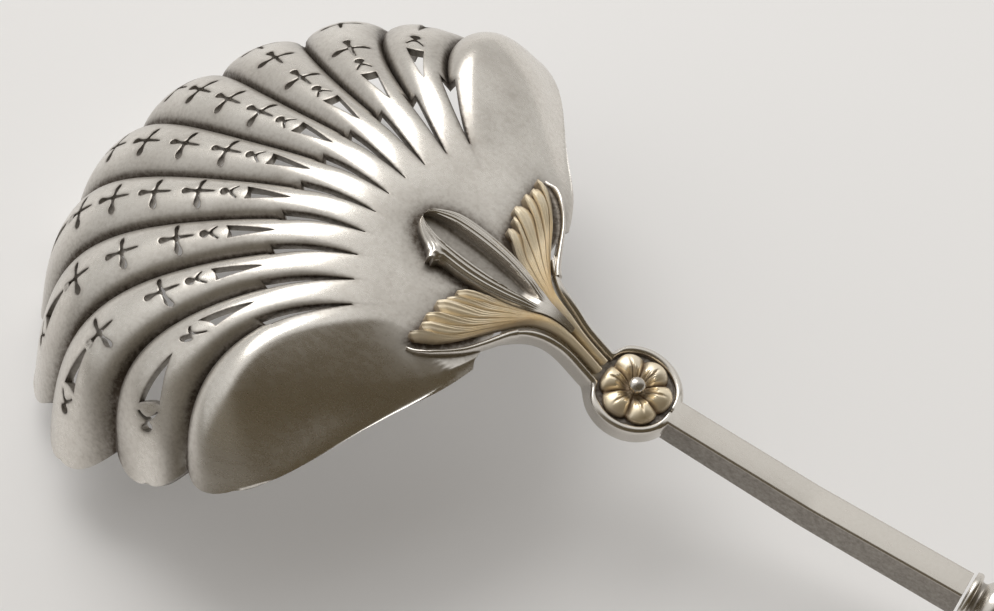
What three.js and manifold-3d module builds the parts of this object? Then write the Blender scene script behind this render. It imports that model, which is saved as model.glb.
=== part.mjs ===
// Sugar sifter spoon, lying on its face: the rounded back of the pierced bowl is up.
// Millimetres and degrees. +X runs from the bowl tip to the handle end, +Z is up.
import * as THREE from 'three';
import { mergeVertices } from 'three/addons/utils/BufferGeometryUtils.js';
import Module from 'manifold-3d';

// Bowl
const bowlTilt = 21.4;          // fall of the rim plane toward the tip
const bowlDepth = 14.93;        // rim plane to the top of the back
const sideFall = 2.14;          // how much lower the outer lobes stand than the middle one
const bowlRadius = 29.43;       // round outer edge
const bowlReach = 28.38;        // fan centre to the centre of the round edge
const bowlWall = 0.9;           // sheet thickness
const shoulderSlope = 1.226;    // straight side edges, rise per run
const shoulderFoot = 11.97;     // where the side edges start beside the neck
const shoulderSwell = 0.161;    // fullness of the shoulders
const frontSwell = 0.064;       // fullness of the front corners
const sideEdge = 89;            // half angle of the whole fan
const wingRise = 2.08;          // lift of the rim along the side wings
const wingTip = 1.59;           // further lift beside the neck
const rimDip = 1.06;            // fall of the rim at the front corners
const wingStart = 0.6;          // last groove to the crease of a wing, in lobes
const wingHeel = 11.6;          // fan centre to the crease beside the neck
const lobePairs = 4;            // pierced lobes each side of the middle one
const lobeAngleIn = 12.7;       // lobe pitch at the fan centre
const lobeAngleOut = 12.35;     // lobe pitch at the rim
const lobePinch = 2.06;         // narrowing of the pitch half way out
const lobeRise = 1.5;          // crest above groove at the rim
const grooveStart = 13.2;       // fan centre to the groove tips
const crownPower = 9.56;        // squareness of the middle lobe
const sidePower = 8.11;         // squareness of the outer pierced lobes
const shoulderPower = 3.6;      // squareness of the plain side lobes
const wallPower = 1.16;         // roundness of the wall down to the rim
const grooveFade = 14;          // length over which the grooves deepen

// Piercing
const slotLength = 8;           // wedge slot at each groove tip
const slotWidth = 1.15;
const dartPlace = 11;           // groove tip to the middle of the dart, along the lobe
const dartLength = 4;
const dartHalf = 1;
const trefoilPlace = 15;
const firstCross = 19.2;
const crossPitch = 5.5;
const outerDart = 12.8;         // rim to the middle of the outer dart, along the lobe
const outerTrefoil = 8.6;
const crossArm = 1.3;           // centre to bulb centre
const crossBulb = 0.56;
const crossSlit = 0.27;

// Palmette on the root of the neck
const neckTilt = 17;            // fall of the palmette toward the handle
const seatRise = 1.85;          // bowl back above the fan centre at the neck
const clearance = 0.3;          // gap kept where pieces meet
const leafRise = 0.95;
const budRise = 1.15;
const budLength = 15;
const budHalfWidth = 3;
const borderWidth = 0.7;
const borderRise = 0.65;

// Neck, rosette and handle, measured along the spine from the fan centre
const neckSteep = 44.5;         // steepest fall of the neck
const discTilt = 12;
const barTilt = 11.5;
const knopTilt = 7.8;
const gripTilt = 12.2;
const endTilt = 0.8;            // the flat end lies level on the table
const neckThickness = 2.5;
const neckHalfWidth = 2.2;
const rootHalfWidth = 4.75;
const discCentre = 14.1;
const discRadius = 5;
const petalCount = 6;
const petalRadius = 3.85;
const petalRise = 1.15;
const pinRadius = 0.7;
const beadRadius = 1.15;
const barWidth = 3.1;
const barDepthNear = 3.5;
const barDepthFar = 4.5;
const barEnd = 52.5;
const tenonRadius = 0.95;
const tenonLength = 2.3;
const knopLength = 6.4;
const knopRadius = 3.3;
const gripLength = 32;
const gripEndWidth = 4.4;
const gripEndDepth = 2.5;
const terminalLength = 15;
const terminalWidth = 10.5;
const terminalDepth = 2.3;
const tangLength = 2.4;
const tangHalfWidth = 0.8;
const tangHalfDepth = 0.4;

const rad = Math.PI / 180;
const wasm = await Module();
wasm.setup();

const lerp = THREE.MathUtils.lerp;
const smoothstep = THREE.MathUtils.smoothstep;

function smoothMin(a, b, blend) {
  const near = Math.max(0, 1 - Math.abs(a - b) / blend);
  return Math.min(a, b) - blend * near * near / 4;
}

function solidFrom(geometry) {
  const bare = geometry.clone();
  bare.deleteAttribute('normal');
  bare.deleteAttribute('uv');
  const merged = mergeVertices(bare, 1e-5);
  return new wasm.Manifold(new wasm.Mesh({
    numProp: 3,
    vertProperties: new Float32Array(merged.attributes.position.array),
    triVerts: new Uint32Array(merged.index.array),
  }));
}

function geometryFrom(solid) {
  const mesh = solid.getMesh();
  const geometry = new THREE.BufferGeometry();
  const points = new Float32Array(mesh.numVert * 3);
  for (let i = 0; i < mesh.numVert; i += 1) {
    for (let c = 0; c < 3; c += 1) {
      points[i * 3 + c] = mesh.vertProperties[i * mesh.numProp + c];
    }
  }
  geometry.setAttribute('position', new THREE.BufferAttribute(points, 3));
  geometry.setIndex(Array.from(mesh.triVerts));
  return geometry;
}

// Closed skin over rings of points; each ring runs anticlockwise seen from the last one.
function loft(rings, closed = false) {
  const count = rings[0].length;
  const points = [];
  const index = [];
  for (const ring of rings) {
    for (const point of ring) {
      points.push(point.x, point.y, point.z);
    }
  }
  const spans = closed ? rings.length : rings.length - 1;
  for (let i = 0; i < spans; i += 1) {
    const here = i * count;
    const there = ((i + 1) % rings.length) * count;
    for (let j = 0; j < count; j += 1) {
      const k = (j + 1) % count;
      index.push(here + j, here + k, there + k, here + j, there + k, there + j);
    }
  }
  if (!closed) {
    const last = (rings.length - 1) * count;
    for (let j = 1; j < count - 1; j += 1) {
      index.push(0, j + 1, j, last, last + j, last + j + 1);
    }
  }
  const geometry = new THREE.BufferGeometry();
  geometry.setAttribute('position', new THREE.Float32BufferAttribute(points, 3));
  geometry.setIndex(index);
  return geometry;
}

// Closed slab between two sheets given over u and v from 0 to 1.
function slab(upper, lower, uSteps, vSteps) {
  const points = [];
  const index = [];
  const row = vSteps + 1;
  const sheet = (uSteps + 1) * row;
  for (const side of [upper, lower]) {
    for (let i = 0; i <= uSteps; i += 1) {
      for (let j = 0; j <= vSteps; j += 1) {
        const point = side(i / uSteps, j / vSteps);
        points.push(point.x, point.y, point.z);
      }
    }
  }
  const quad = (a, b, c, d) => index.push(a, b, c, a, c, d);
  for (let i = 0; i < uSteps; i += 1) {
    for (let j = 0; j < vSteps; j += 1) {
      const a = i * row + j;
      quad(a, a + row, a + row + 1, a + 1);
      quad(sheet + a, sheet + a + 1, sheet + a + row + 1, sheet + a + row);
    }
  }
  for (let i = 0; i < uSteps; i += 1) {
    const a = i * row;
    quad(a, sheet + a, sheet + a + row, a + row);
    const b = a + vSteps;
    quad(b, b + row, sheet + b + row, sheet + b);
  }
  for (let j = 0; j < vSteps; j += 1) {
    quad(j, j + 1, sheet + j + 1, sheet + j);
    const b = uSteps * row + j;
    quad(b, sheet + b, sheet + b + 1, b + 1);
  }
  const geometry = new THREE.BufferGeometry();
  geometry.setAttribute('position', new THREE.Float32BufferAttribute(points, 3));
  geometry.setIndex(index);
  return geometry;
}

// Bowl: a fan of lobes in polar form about the fan centre, above the rim plane
const gradient = Math.tan((bowlTilt + neckTilt) * rad);
const seatEdge = seatRise / Math.sin((bowlTilt + neckTilt) * rad);
const lobeLimit = lobePairs + 0.5;
const edgeAngle = sideEdge * rad;

function bell(bend, centre, width) {
  return Math.exp(-Math.pow((bend / rad - centre) / width, 2));
}

function rimRadius(theta) {
  const bend = Math.abs(theta);
  const across = bowlReach * Math.sin(bend);
  const round = bowlReach * Math.cos(bend) + Math.sqrt(bowlRadius * bowlRadius - across * across);
  const full = 1 + shoulderSwell * smoothstep(bend, 46 * rad, 60 * rad) + frontSwell * bell(bend, 38, 12);
  const side = Math.max(0, Math.sin(bend) - shoulderSlope * Math.cos(bend)) / shoulderFoot;
  return 1 / Math.pow(Math.pow(1 / (round * full), 18) + Math.pow(side, 18), 1 / 18);
}

function rimLevel(theta) {
  const bend = Math.abs(theta);
  const raised = wingRise * smoothstep(bend, 40 * rad, 60 * rad) + wingTip * smoothstep(bend, 62 * rad, 72 * rad);
  return raised - rimDip * bell(bend, 36, 14);
}

// Way down a side wing: 0 up to its crease, 1 at the rim.
function wingShare(theta, r) {
  const rim = rimRadius(theta);
  const pitch = lobePitch(Math.min(1, r / rim));
  const side = (Math.abs(theta) / pitch - lobeLimit - wingStart) * pitch * r;
  const reach = smoothMin(side, r - wingHeel, 3);
  const past = (reach + Math.sqrt(reach * reach + 0.09)) / 2 * smoothstep(reach, -1, 0.3);
  return Math.min(1, past / Math.max(1e-6, past + Math.max(0, rim - r)));
}

// Back of the bowl before the lobes: a dome shaved by the sloping seat of the palmette.
function domeHeight(theta, r) {
  const bend = Math.abs(theta);
  const share = Math.min(1, r / rimRadius(theta));
  const level = rimLevel(theta);
  const top = bowlDepth - sideFall * smoothstep(bend, 8 * rad, 50 * rad);
  const outer = lerp(crownPower, sidePower, smoothstep(bend, 8 * rad, 44 * rad));
  const power = lerp(outer, shoulderPower, smoothstep(bend, 45 * rad, 80 * rad));
  const dome = level + (top - level) * Math.pow(Math.max(0, 1 - Math.pow(share, power)), wallPower);
  return smoothMin(dome, gradient * (seatEdge + r * Math.cos(theta)), 3);
}

function backHeight(p, q) {
  if (p > -1) {
    return gradient * (seatEdge - p);
  }
  const theta = Math.atan2(q, -p);
  const r = Math.hypot(p, q);
  const level = rimLevel(theta);
  return level + (domeHeight(theta, r) - level) * (1 - wingShare(theta, r));
}

function bowlFrame(p, q, h) {
  const c = Math.cos(bowlTilt * rad);
  const s = Math.sin(bowlTilt * rad);
  return new THREE.Vector3(p * c - h * s, q, p * s + h * c);
}

function basePoint(theta, depth) {
  const r = (1 - (1 - depth) * (1 - depth)) * rimRadius(theta);
  return bowlFrame(-r * Math.cos(theta), r * Math.sin(theta), domeHeight(theta, r));
}

function baseNormal(theta, depth) {
  const d = 0.004;
  const inner = Math.max(0.02, depth);
  const along = basePoint(theta, Math.min(1, inner + d)).sub(basePoint(theta, inner - d));
  const around = basePoint(theta + d, inner).sub(basePoint(theta - d, inner));
  return around.cross(along).normalize();
}

function lobePitch(share) {
  return (lerp(lobeAngleIn, lobeAngleOut, share) - lobePinch * Math.sin(Math.PI * share)) * rad;
}

function lobeProfile(theta, depth) {
  const share = 1 - (1 - depth) * (1 - depth);
  const place = Math.abs(theta) / lobePitch(share);
  const start = grooveStart + 2.2 * Math.pow(theta / 0.84, 2);
  const r = share * rimRadius(theta);
  const rise = lobeRise * smoothstep(r, start - 1.5, start + grooveFade);
  let offset = 2 * Math.abs(place - Math.round(place));
  if (place > lobeLimit) {
    offset = Math.max(0, 1 - 1.7 * (place - lobeLimit));
  }
  return rise * Math.pow(1 - Math.pow(Math.min(1, offset), 2.2), 0.6);
}

// Skin of the bowl: each lobe stands along the normal and leans outwards at the rim; the wings cut it.
function bowlPoint(theta, depth, lift) {
  const share = 1 - (1 - depth) * (1 - depth);
  const normal = baseNormal(theta, depth);
  const lean = 1.3 * smoothstep(share, 0.75, 1);
  const out = bowlFrame(-Math.cos(theta), Math.sin(theta), 0).multiplyScalar(lean).add(normal).normalize();
  const full = basePoint(theta, depth).addScaledVector(out, lobeProfile(theta, depth));
  const c = Math.cos(bowlTilt * rad);
  const s = Math.sin(bowlTilt * rad);
  const p = full.x * c + full.z * s;
  const h = full.z * c - full.x * s;
  const level = rimLevel(theta);
  const way = h > level ? 1 - wingShare(theta, share * rimRadius(theta)) : 1;
  return bowlFrame(p, full.y, level + (h - level) * way).addScaledVector(normal, lift);
}

// Fan coordinate: each pierced lobe has an equal share of u, the plain side lobes the rest.
const lobeSteps = 4;
const plainSteps = 6;
const fanSteps = (2 * lobePairs + 1) * lobeSteps + 2 * plainSteps;
function fanAngle(u, depth) {
  const pitch = lobePitch(1 - (1 - depth) * (1 - depth));
  const step = u * fanSteps - fanSteps / 2;
  const limit = lobeLimit * lobeSteps;
  if (Math.abs(step) <= limit) {
    return step / lobeSteps * pitch;
  }
  const beyond = (Math.abs(step) - limit) / plainSteps;
  const spare = edgeAngle - (lobeLimit + 1) * pitch;
  return Math.sign(step) * ((lobeLimit + beyond) * pitch + spare * beyond * beyond);
}

function bowlBlank() {
  const hub = 0.02;
  const sheet = (lift) => (u, v) => {
    const depth = lerp(hub, 1, v);
    return bowlPoint(fanAngle(u, depth), depth, lift);
  };
  return slab(sheet(0), sheet(-bowlWall), fanSteps, 12);
}

// Walk along a lobe or groove from its groove tip to the rim: pairs of length walked and depth.
function ruler(lobe) {
  const marks = [];
  const start = grooveStart + 2.2 * Math.pow(lobe * 0.19 / 0.84, 2);
  let last = null;
  let run = 0;
  for (let i = 0; i <= 200; i += 1) {
    const depth = i / 200;
    const share = 1 - (1 - depth) * (1 - depth);
    const theta = lobe * lobePitch(share);
    const here = bowlPoint(theta, depth, 0);
    if (share * rimRadius(theta) >= start) {
      run += last ? here.distanceTo(last) : 0;
      last = here;
      marks.push([run, depth]);
    }
  }
  return marks;
}

function depthAlong(marks, run) {
  const next = Math.max(1, marks.findIndex((mark) => mark[0] >= run));
  const low = marks[next - 1];
  const high = marks[next];
  return lerp(low[1], high[1], (run - low[0]) / (high[0] - low[0]));
}

// Prism of a flat outline, standing through the sheet at one place of the fan.
function pierce(shape, lobe, depth) {
  const theta = lobe * lobePitch(1 - (1 - depth) * (1 - depth));
  const out = bowlPoint(theta, depth + 0.01, 0).sub(bowlPoint(theta, depth - 0.01, 0)).normalize();
  const up = baseNormal(theta, depth);
  const side = up.clone().cross(out).normalize();
  const forward = side.clone().cross(up).normalize();
  const prism = new THREE.ExtrudeGeometry(shape, { depth: 5, bevelEnabled: false, curveSegments: 2 });
  const origin = bowlPoint(theta, depth, 0).addScaledVector(up, -2.8);
  const frame = new THREE.Matrix4().makeBasis(forward, side, up).setPosition(origin);
  prism.applyMatrix4(frame);
  return solidFrom(prism);
}

function crossOutline() {
  const shape = new THREE.Shape();
  const bulbs = [crossBulb, crossBulb * 0.92, crossSlit, crossBulb * 0.92];
  const reach = [crossArm, crossArm * 0.94, crossArm * 1.3, crossArm * 0.94];
  const marks = [];
  for (let arm = 0; arm < 4; arm += 1) {
    const turn = arm * Math.PI / 2;
    const out = new THREE.Vector2(Math.cos(turn), Math.sin(turn));
    const side = new THREE.Vector2(-out.y, out.x);
    const corner = out.clone().sub(side).multiplyScalar(crossSlit * 0.65);
    const tip = out.clone().multiplyScalar(reach[arm] + bulbs[arm] * 0.8);
    marks.push(corner, tip.clone().addScaledVector(side, -bulbs[arm] * 0.8));
    marks.push(tip.clone().addScaledVector(side, bulbs[arm] * 0.8));
  }
  shape.setFromPoints(marks);
  return shape;
}

function trefoilOutline() {
  const shape = new THREE.Shape();
  shape.moveTo(-0.75, -0.22);
  shape.absarc(-0.05, -0.9, 0.34, -2.6, 0.6, false);
  shape.absarc(1.05, 0, 0.5, -2.1, 2.1, false);
  shape.absarc(-0.05, 0.9, 0.34, -0.6, 2.6, false);
  shape.lineTo(-0.75, 0.22);
  shape.closePath();
  return shape;
}

function dartOutline() {
  const shape = new THREE.Shape();
  shape.moveTo(-dartLength / 2, 0);
  shape.lineTo(dartLength / 2, -dartHalf);
  shape.quadraticCurveTo(dartLength / 2 - 1.2, 0, dartLength / 2, dartHalf);
  shape.closePath();
  return shape;
}

function slotOutline() {
  const shape = new THREE.Shape();
  shape.moveTo(-slotLength / 2, 0);
  shape.lineTo(slotLength / 2, -slotWidth / 2);
  shape.lineTo(slotLength / 2, slotWidth / 2);
  shape.closePath();
  return shape;
}

function bowlGeometry() {
  const cutters = [];
  for (let lobe = -lobePairs; lobe <= lobePairs; lobe += 1) {
    const marks = ruler(lobe);
    const end = marks[marks.length - 1][0];
    const early = 1.2 * Math.pow(lobe / lobePairs, 2);
    const cut = (shape, run) => cutters.push(pierce(shape, lobe, depthAlong(marks, run)));
    cut(dartOutline(), dartPlace + early);
    cut(trefoilOutline(), trefoilPlace + early);
    cut(dartOutline(), end - outerDart);
    cut(trefoilOutline(), end - outerTrefoil);
    const first = firstCross + early;
    const last = end - outerDart - 4.6;
    const gaps = Math.max(0, Math.round((last - first) / crossPitch));
    for (let k = 0; k <= gaps; k += 1) {
      cut(crossOutline(), gaps > 0 ? lerp(first, last, k / gaps) : (first + last) / 2);
    }
  }
  for (let groove = -lobePairs - 0.5; groove <= lobePairs + 0.5; groove += 1) {
    cutters.push(pierce(slotOutline(), groove, depthAlong(ruler(groove), slotLength / 2)));
  }
  const blank = solidFrom(bowlBlank());
  return geometryFrom(blank.subtract(wasm.Manifold.union(cutters)));
}

// Spine of the handle: slope along its length, added up from the fan centre
const slopeMarks = [[0, neckTilt], [1, neckTilt], [4, neckSteep], [8, neckSteep], [11.5, discTilt],
  [19, discTilt], [20, barTilt], [34, barTilt], [36, knopTilt], [58, knopTilt], [63, gripTilt],
  [84, gripTilt], [93, endTilt], [140, endTilt]];

function slopeAt(s) {
  for (let i = 1; i < slopeMarks.length; i += 1) {
    const [from, low] = slopeMarks[i - 1];
    const [to, high] = slopeMarks[i];
    if (s <= to) {
      return lerp(low, high, smoothstep(s, from, to)) * rad;
    }
  }
  return slopeMarks[slopeMarks.length - 1][1] * rad;
}

const spineStep = 0.25;
const spine = [new THREE.Vector3(0, 0, 0)];
for (let s = 0; s < 140; s += spineStep) {
  const slope = slopeAt(s + spineStep / 2);
  const last = spine[spine.length - 1];
  spine.push(new THREE.Vector3(last.x + spineStep * Math.cos(slope), 0, last.z - spineStep * Math.sin(slope)));
}

function alongSpine(s, q, k) {
  const place = Math.max(0, s) / spineStep;
  const i = Math.min(spine.length - 2, Math.floor(place));
  const point = spine[i].clone().lerp(spine[i + 1], place - i);
  const slope = slopeAt(s);
  const back = Math.min(0, s);
  point.x += k * Math.sin(slope) + back * Math.cos(slope);
  point.z += k * Math.cos(slope) - back * Math.sin(slope);
  point.y = q;
  return point;
}

function bent(geometry) {
  const at = geometry.attributes.position;
  for (let i = 0; i < at.count; i += 1) {
    const point = alongSpine(at.getX(i), at.getY(i), at.getZ(i));
    at.setXYZ(i, point.x, point.y, point.z);
  }
  return geometry;
}

// A place on the palmette: over the bowl it follows the rounded back, past it the neck.
function onSeat(s, q, lift) {
  if (s >= 0) {
    return alongSpine(s, q, seatRise + lift);
  }
  const turn = (bowlTilt + neckTilt) * rad;
  const p = s * Math.cos(turn) + seatRise * Math.sin(turn);
  const d = 0.05;
  const slopeP = (backHeight(p + d, q) - backHeight(p - d, q)) / (2 * d);
  const slopeQ = (backHeight(p, q + d) - backHeight(p, q - d)) / (2 * d);
  const normal = new THREE.Vector3(-slopeP, -slopeQ, 1).normalize();
  const h = backHeight(p, q);
  return bowlFrame(p + normal.x * lift, q + normal.y * lift, h + normal.z * lift);
}

function curveThrough(marks) {
  const curve = new THREE.SplineCurve(marks.map(([s, q]) => new THREE.Vector2(s, q)));
  return (t) => curve.getPoint(t);
}

const leafInner = curveThrough([[8.9, 0.3], [5.3, 0.35], [2.2, 0.75], [-0.6, 2.05], [-3.2, 3.35], [-6.2, 4.4]]);
const leafOuter = curveThrough([[8.9, 1.15], [5.3, 1.15], [2.4, 1.6], [0.2, 2.9], [-1.5, 4.6], [-3, 7.8], [-6.1, 11]]);
const borderLine = curveThrough([[-1.4, 5.6], [-2.4, 7.6], [-3.6, 9.6], [-4.9, 11], [-6.2, 12]]);

function leafGeometry(side) {
  const place = (u, v, lift) => {
    const edgeIn = leafInner(u);
    const edgeOut = leafOuter(u);
    const spot = edgeIn.clone().lerp(edgeOut, v);
    const ragged = smoothstep(u, 0.75, 1) * 0.75 * Math.cos(v * Math.PI * 6);
    return onSeat(spot.x - ragged, side * spot.y, lift);
  };
  const rise = (u, v) => {
    const crown = Math.pow(Math.sin(Math.PI * lerp(0.12, 0.88, v)), 0.7);
    const veins = 1 - 0.28 * smoothstep(u, 0.35, 0.8) * (0.5 + 0.5 * Math.cos(v * Math.PI * 6));
    return clearance + leafRise * crown * veins;
  };
  const top = (u, v) => place(u, v, rise(u, v));
  const base = (u, v) => place(u, v, clearance);
  return side > 0 ? slab(base, top, 12, 9) : slab(top, base, 12, 9);
}

function borderGeometry(side) {
  const place = (u, v, lift) => {
    const spot = borderLine(u);
    const ahead = borderLine(Math.min(1, u + 0.02)).sub(borderLine(Math.max(0, u - 0.02))).normalize();
    const width = borderWidth * lerp(1, 0.55, u);
    return onSeat(spot.x + ahead.y * (v - 0.5) * width, side * (spot.y - ahead.x * (v - 0.5) * width), lift);
  };
  const crown = (v) => clearance + borderRise * Math.sqrt(Math.sin(Math.PI * lerp(0.15, 0.85, v)));
  const top = (u, v) => place(u, v, crown(v));
  const base = (u, v) => place(u, v, clearance);
  return side > 0 ? slab(base, top, 10, 4) : slab(top, base, 10, 4);
}

function budGeometry() {
  const start = 1;
  const half = (u) => budHalfWidth * Math.pow(Math.sin(Math.PI * Math.pow(lerp(0.02, 0.985, u), 1.35)), 0.85) + 0.05;
  const place = (u, v, lift) => onSeat(start - budLength * u, (2 * v - 1) * half(u), lift);
  const rise = (u, v) => {
    const across = Math.abs(2 * v - 1);
    const rim = Math.sqrt(Math.max(0, 1 - Math.pow((across - 0.72) / 0.36, 2)));
    const inside = across < 0.72 ? Math.max(0.12, rim) : Math.max(0.3, rim);
    const ends = smoothstep(u, 0, 0.12) * smoothstep(1 - u, 0, 0.08);
    return clearance + budRise * lerp(0.55, inside, ends);
  };
  return slab((u, v) => place(u, v, clearance), (u, v) => place(u, v, rise(u, v)), 14, 10);
}

// Neck plate, drawn flat along the spine and bent with it
function plateHalf(s, inset) {
  const flare = Math.pow(Math.max(0, 1 - s / 6.5), 2.2);
  const neck = lerp(neckHalfWidth, rootHalfWidth, flare) - inset;
  const radius = discRadius - inset;
  const across = radius * radius - (s - discCentre) * (s - discCentre);
  const disc = Math.sqrt(Math.max(0, across));
  return s < discCentre ? Math.max(neck, disc) : disc;
}

function plateStations(root) {
  const meet = Math.asin(Math.min(0.9, neckHalfWidth / discRadius));
  const part = Math.PI - Math.asin(barWidth / 2 / discRadius);
  const pocketEnd = Math.acos(-(discRadius - borderWidth) / discRadius);
  const list = [];
  for (let i = 0; i <= 9; i += 1) {
    list.push(lerp(root, discCentre - discRadius * Math.cos(meet), i / 9));
  }
  for (let i = 1; i <= 12; i += 1) {
    list.push(discCentre - discRadius * Math.cos(lerp(meet, pocketEnd, i / 12)));
  }
  list.push(discCentre - discRadius * Math.cos(part));
  return list;
}

function plateGeometry() {
  const list = plateStations(plateRoot);
  const shares = [-1, -0.999, -0.97, -0.5, 0, 0.5, 0.97, 0.999, 1];
  const across = (s, j) => {
    const outer = plateHalf(s, 0);
    const inner = plateHalf(s, borderWidth);
    return j === 0 || j === 8 ? shares[j] * outer : shares[j] * inner;
  };
  const pick = (u, v) => [list[Math.round(u * (list.length - 1))], Math.round(v * 8)];
  const top = (u, v) => {
    const [s, j] = pick(u, v);
    const sunk = j > 1 && j < 7 && plateHalf(s, borderWidth) > 0.05;
    return new THREE.Vector3(s, across(s, j), sunk ? seatRise : plateTop);
  };
  const base = (u, v) => {
    const [s, j] = pick(u, v);
    return new THREE.Vector3(s, plateHalf(s, 0) * (j / 4 - 1), plateTop - neckThickness);
  };
  return slab(top, base, list.length - 1, 8);
}

function chamferedRing(s, width, depth, top, corner) {
  const w = width / 2;
  const low = top - depth;
  const marks = [[-w + corner, low], [w - corner, low], [w, low + corner], [w, top - corner * 0.5],
    [w - corner * 0.5, top], [-w + corner * 0.5, top], [-w, top - corner * 0.5], [-w, low + corner]];
  return marks.map(([q, k]) => new THREE.Vector3(s, q, k));
}

function roundRing(s, radius, level, count = 20) {
  const ring = [];
  for (let i = 0; i < count; i += 1) {
    const turn = i / count * 2 * Math.PI;
    ring.push(new THREE.Vector3(s, radius * Math.cos(turn), level + radius * Math.sin(turn)));
  }
  return ring;
}

const plateTop = seatRise + borderRise;
const plateRoot = clearance + 0.1 - seatRise * gradient;
const axisLevel = plateTop - barDepthFar / 2;
const borePinRadius = pinRadius + clearance;
const boreTenonRadius = tenonRadius + clearance;

function shankGeometry() {
  const plate = solidFrom(plateGeometry());
  const stations = [0, 0.12, 0.3, 0.5, 0.75, 1];
  const from = discCentre + discRadius - borderWidth * 0.5;
  const rings = stations.map((t) => chamferedRing(lerp(from, barEnd, t), barWidth,
    lerp(barDepthNear, barDepthFar, t), plateTop, 0.4));
  const bar = solidFrom(loft(rings));
  const tenon = solidFrom(loft([roundRing(barEnd - 1, tenonRadius, axisLevel),
    roundRing(barEnd + tenonLength, tenonRadius, axisLevel)]));
  const bore = solidFrom(loft([roundRing(-5, borePinRadius, 0), roundRing(5, borePinRadius, 0)])
    .rotateY(Math.PI / 2).translate(discCentre, 0, 0));
  const whole = plate.subtract(bore).add(bar).add(tenon);
  return bent(geometryFrom(whole));
}

function rosetteGeometry() {
  const steps = 48;
  const rings = [];
  const level = seatRise + clearance;
  for (let i = 0; i < steps; i += 1) {
    const turn = i / steps * 2 * Math.PI;
    const petal = Math.abs(Math.cos(turn * petalCount / 2));
    const edge = petalRadius * (0.8 + 0.2 * Math.pow(petal, 0.55));
    const full = 0.55 + 0.45 * Math.pow(petal, 0.6);
    const marks = [[borePinRadius, 0], [edge, 0], [edge, 0.3 * full], [edge * 0.93, 0.75 * petalRise * full],
      [edge * 0.72, petalRise * full], [edge * 0.45, 0.72 * petalRise * full], [borePinRadius, 0.5 * petalRise]];
    marks.reverse();
    rings.push(marks.map(([r, h]) => new THREE.Vector3(discCentre + r * Math.cos(turn), r * Math.sin(turn), level + h)));
  }
  return bent(loft(rings, true));
}

function turned(marks, segments) {
  return new THREE.LatheGeometry(marks.map(([r, h]) => new THREE.Vector2(r, h)), segments).rotateX(Math.PI / 2);
}

function pinGeometry() {
  const seat = seatRise + clearance + petalRise * 0.5 + clearance;
  const foot = plateTop - neckThickness - clearance;
  const head = 0.35;
  const marks = [[0, foot - head], [pinRadius + 0.35, foot - head * 0.7], [pinRadius + 0.45, foot],
    [pinRadius, foot], [pinRadius, seat], [beadRadius * 0.93, seat], [beadRadius, seat + 0.4],
    [beadRadius * 0.8, seat + 0.9], [beadRadius * 0.45, seat + 1.15], [0, seat + 1.25]];
  return bent(turned(marks, 20).translate(discCentre, 0, 0));
}

const knopStart = barEnd + clearance;
const knopEnd = knopStart + knopLength;
const gripStart = knopEnd + clearance;
const gripEnd = gripStart + gripLength;
const terminalStart = gripEnd + clearance;

function knopGeometry() {
  const marks = [[0, 2.45], [0.05, 2.75], [0.1, 2.75], [0.15, 2.1], [0.22, 2.1], [0.34, 3], [0.5, knopRadius],
    [0.66, 3], [0.78, 2.1], [0.85, 2.1], [0.9, 2.75], [0.95, 2.75], [1, 2.45]];
  const rings = marks.map(([t, r]) => roundRing(lerp(knopStart, knopEnd, t), r, axisLevel, 20));
  const body = solidFrom(loft(rings));
  const bore = solidFrom(loft([roundRing(knopStart - 1, boreTenonRadius, axisLevel),
    roundRing(knopEnd + 1, boreTenonRadius, axisLevel)]));
  return bent(geometryFrom(body.subtract(bore)));
}

function gripGeometry() {
  const stations = [0, 0.15, 0.35, 0.6, 0.85, 1];
  const rings = stations.map((t) => {
    const depth = lerp(barDepthFar, gripEndDepth, t);
    return chamferedRing(lerp(gripStart, gripEnd, t), lerp(barWidth, gripEndWidth, t * t), depth,
      axisLevel + depth / 2, 0.4);
  });
  const bar = solidFrom(loft(rings));
  const tenon = solidFrom(loft([roundRing(gripStart - tenonLength, tenonRadius, axisLevel),
    roundRing(gripStart + 1, tenonRadius, axisLevel)]));
  const tang = solidFrom(loft([tangRing(gripEnd - 1, 0), tangRing(gripEnd + tangLength, 0)]));
  return bent(geometryFrom(bar.add(tenon).add(tang)));
}

function tangRing(s, grow) {
  const w = tangHalfWidth + grow;
  const d = tangHalfDepth + grow;
  return [[-w, -d], [w, -d], [w, d], [-w, d]].map(([q, k]) => new THREE.Vector3(s, q, axisLevel + k));
}

function terminalGeometry() {
  const stations = [0, 0.08, 0.2, 0.35, 0.5, 0.65, 0.78, 0.88, 0.95, 0.985, 1];
  const half = (t) => {
    const flare = lerp(gripEndWidth, terminalWidth, smoothstep(t, 0, 0.75)) / 2;
    const round = Math.sqrt(Math.max(0.004, 1 - Math.pow(Math.max(0, (t - 0.62) / 0.38), 2)));
    return flare * round;
  };
  const rings = stations.map((t) => {
    const width = 2 * half(t);
    const depth = lerp(gripEndDepth, terminalDepth, t);
    const corner = Math.min(0.4, width / 5);
    return chamferedRing(terminalStart + t * terminalLength, width, depth, axisLevel + depth / 2, corner);
  });
  const body = solidFrom(loft(rings));
  const socket = solidFrom(loft([tangRing(terminalStart - 1, clearance),
    tangRing(terminalStart + tangLength + clearance, clearance)]));
  return bent(geometryFrom(body.subtract(socket)));
}

const silver = new THREE.MeshStandardMaterial({ name: 'silver', color: 0xbdb7ad, roughness: 0.36, metalness: 1 });
const gilt = new THREE.MeshStandardMaterial({ name: 'gilt', color: 0xd8b878, roughness: 0.34, metalness: 1 });

const spoon = new THREE.Group();
spoon.name = 'sugar_sifter_spoon';

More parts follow.
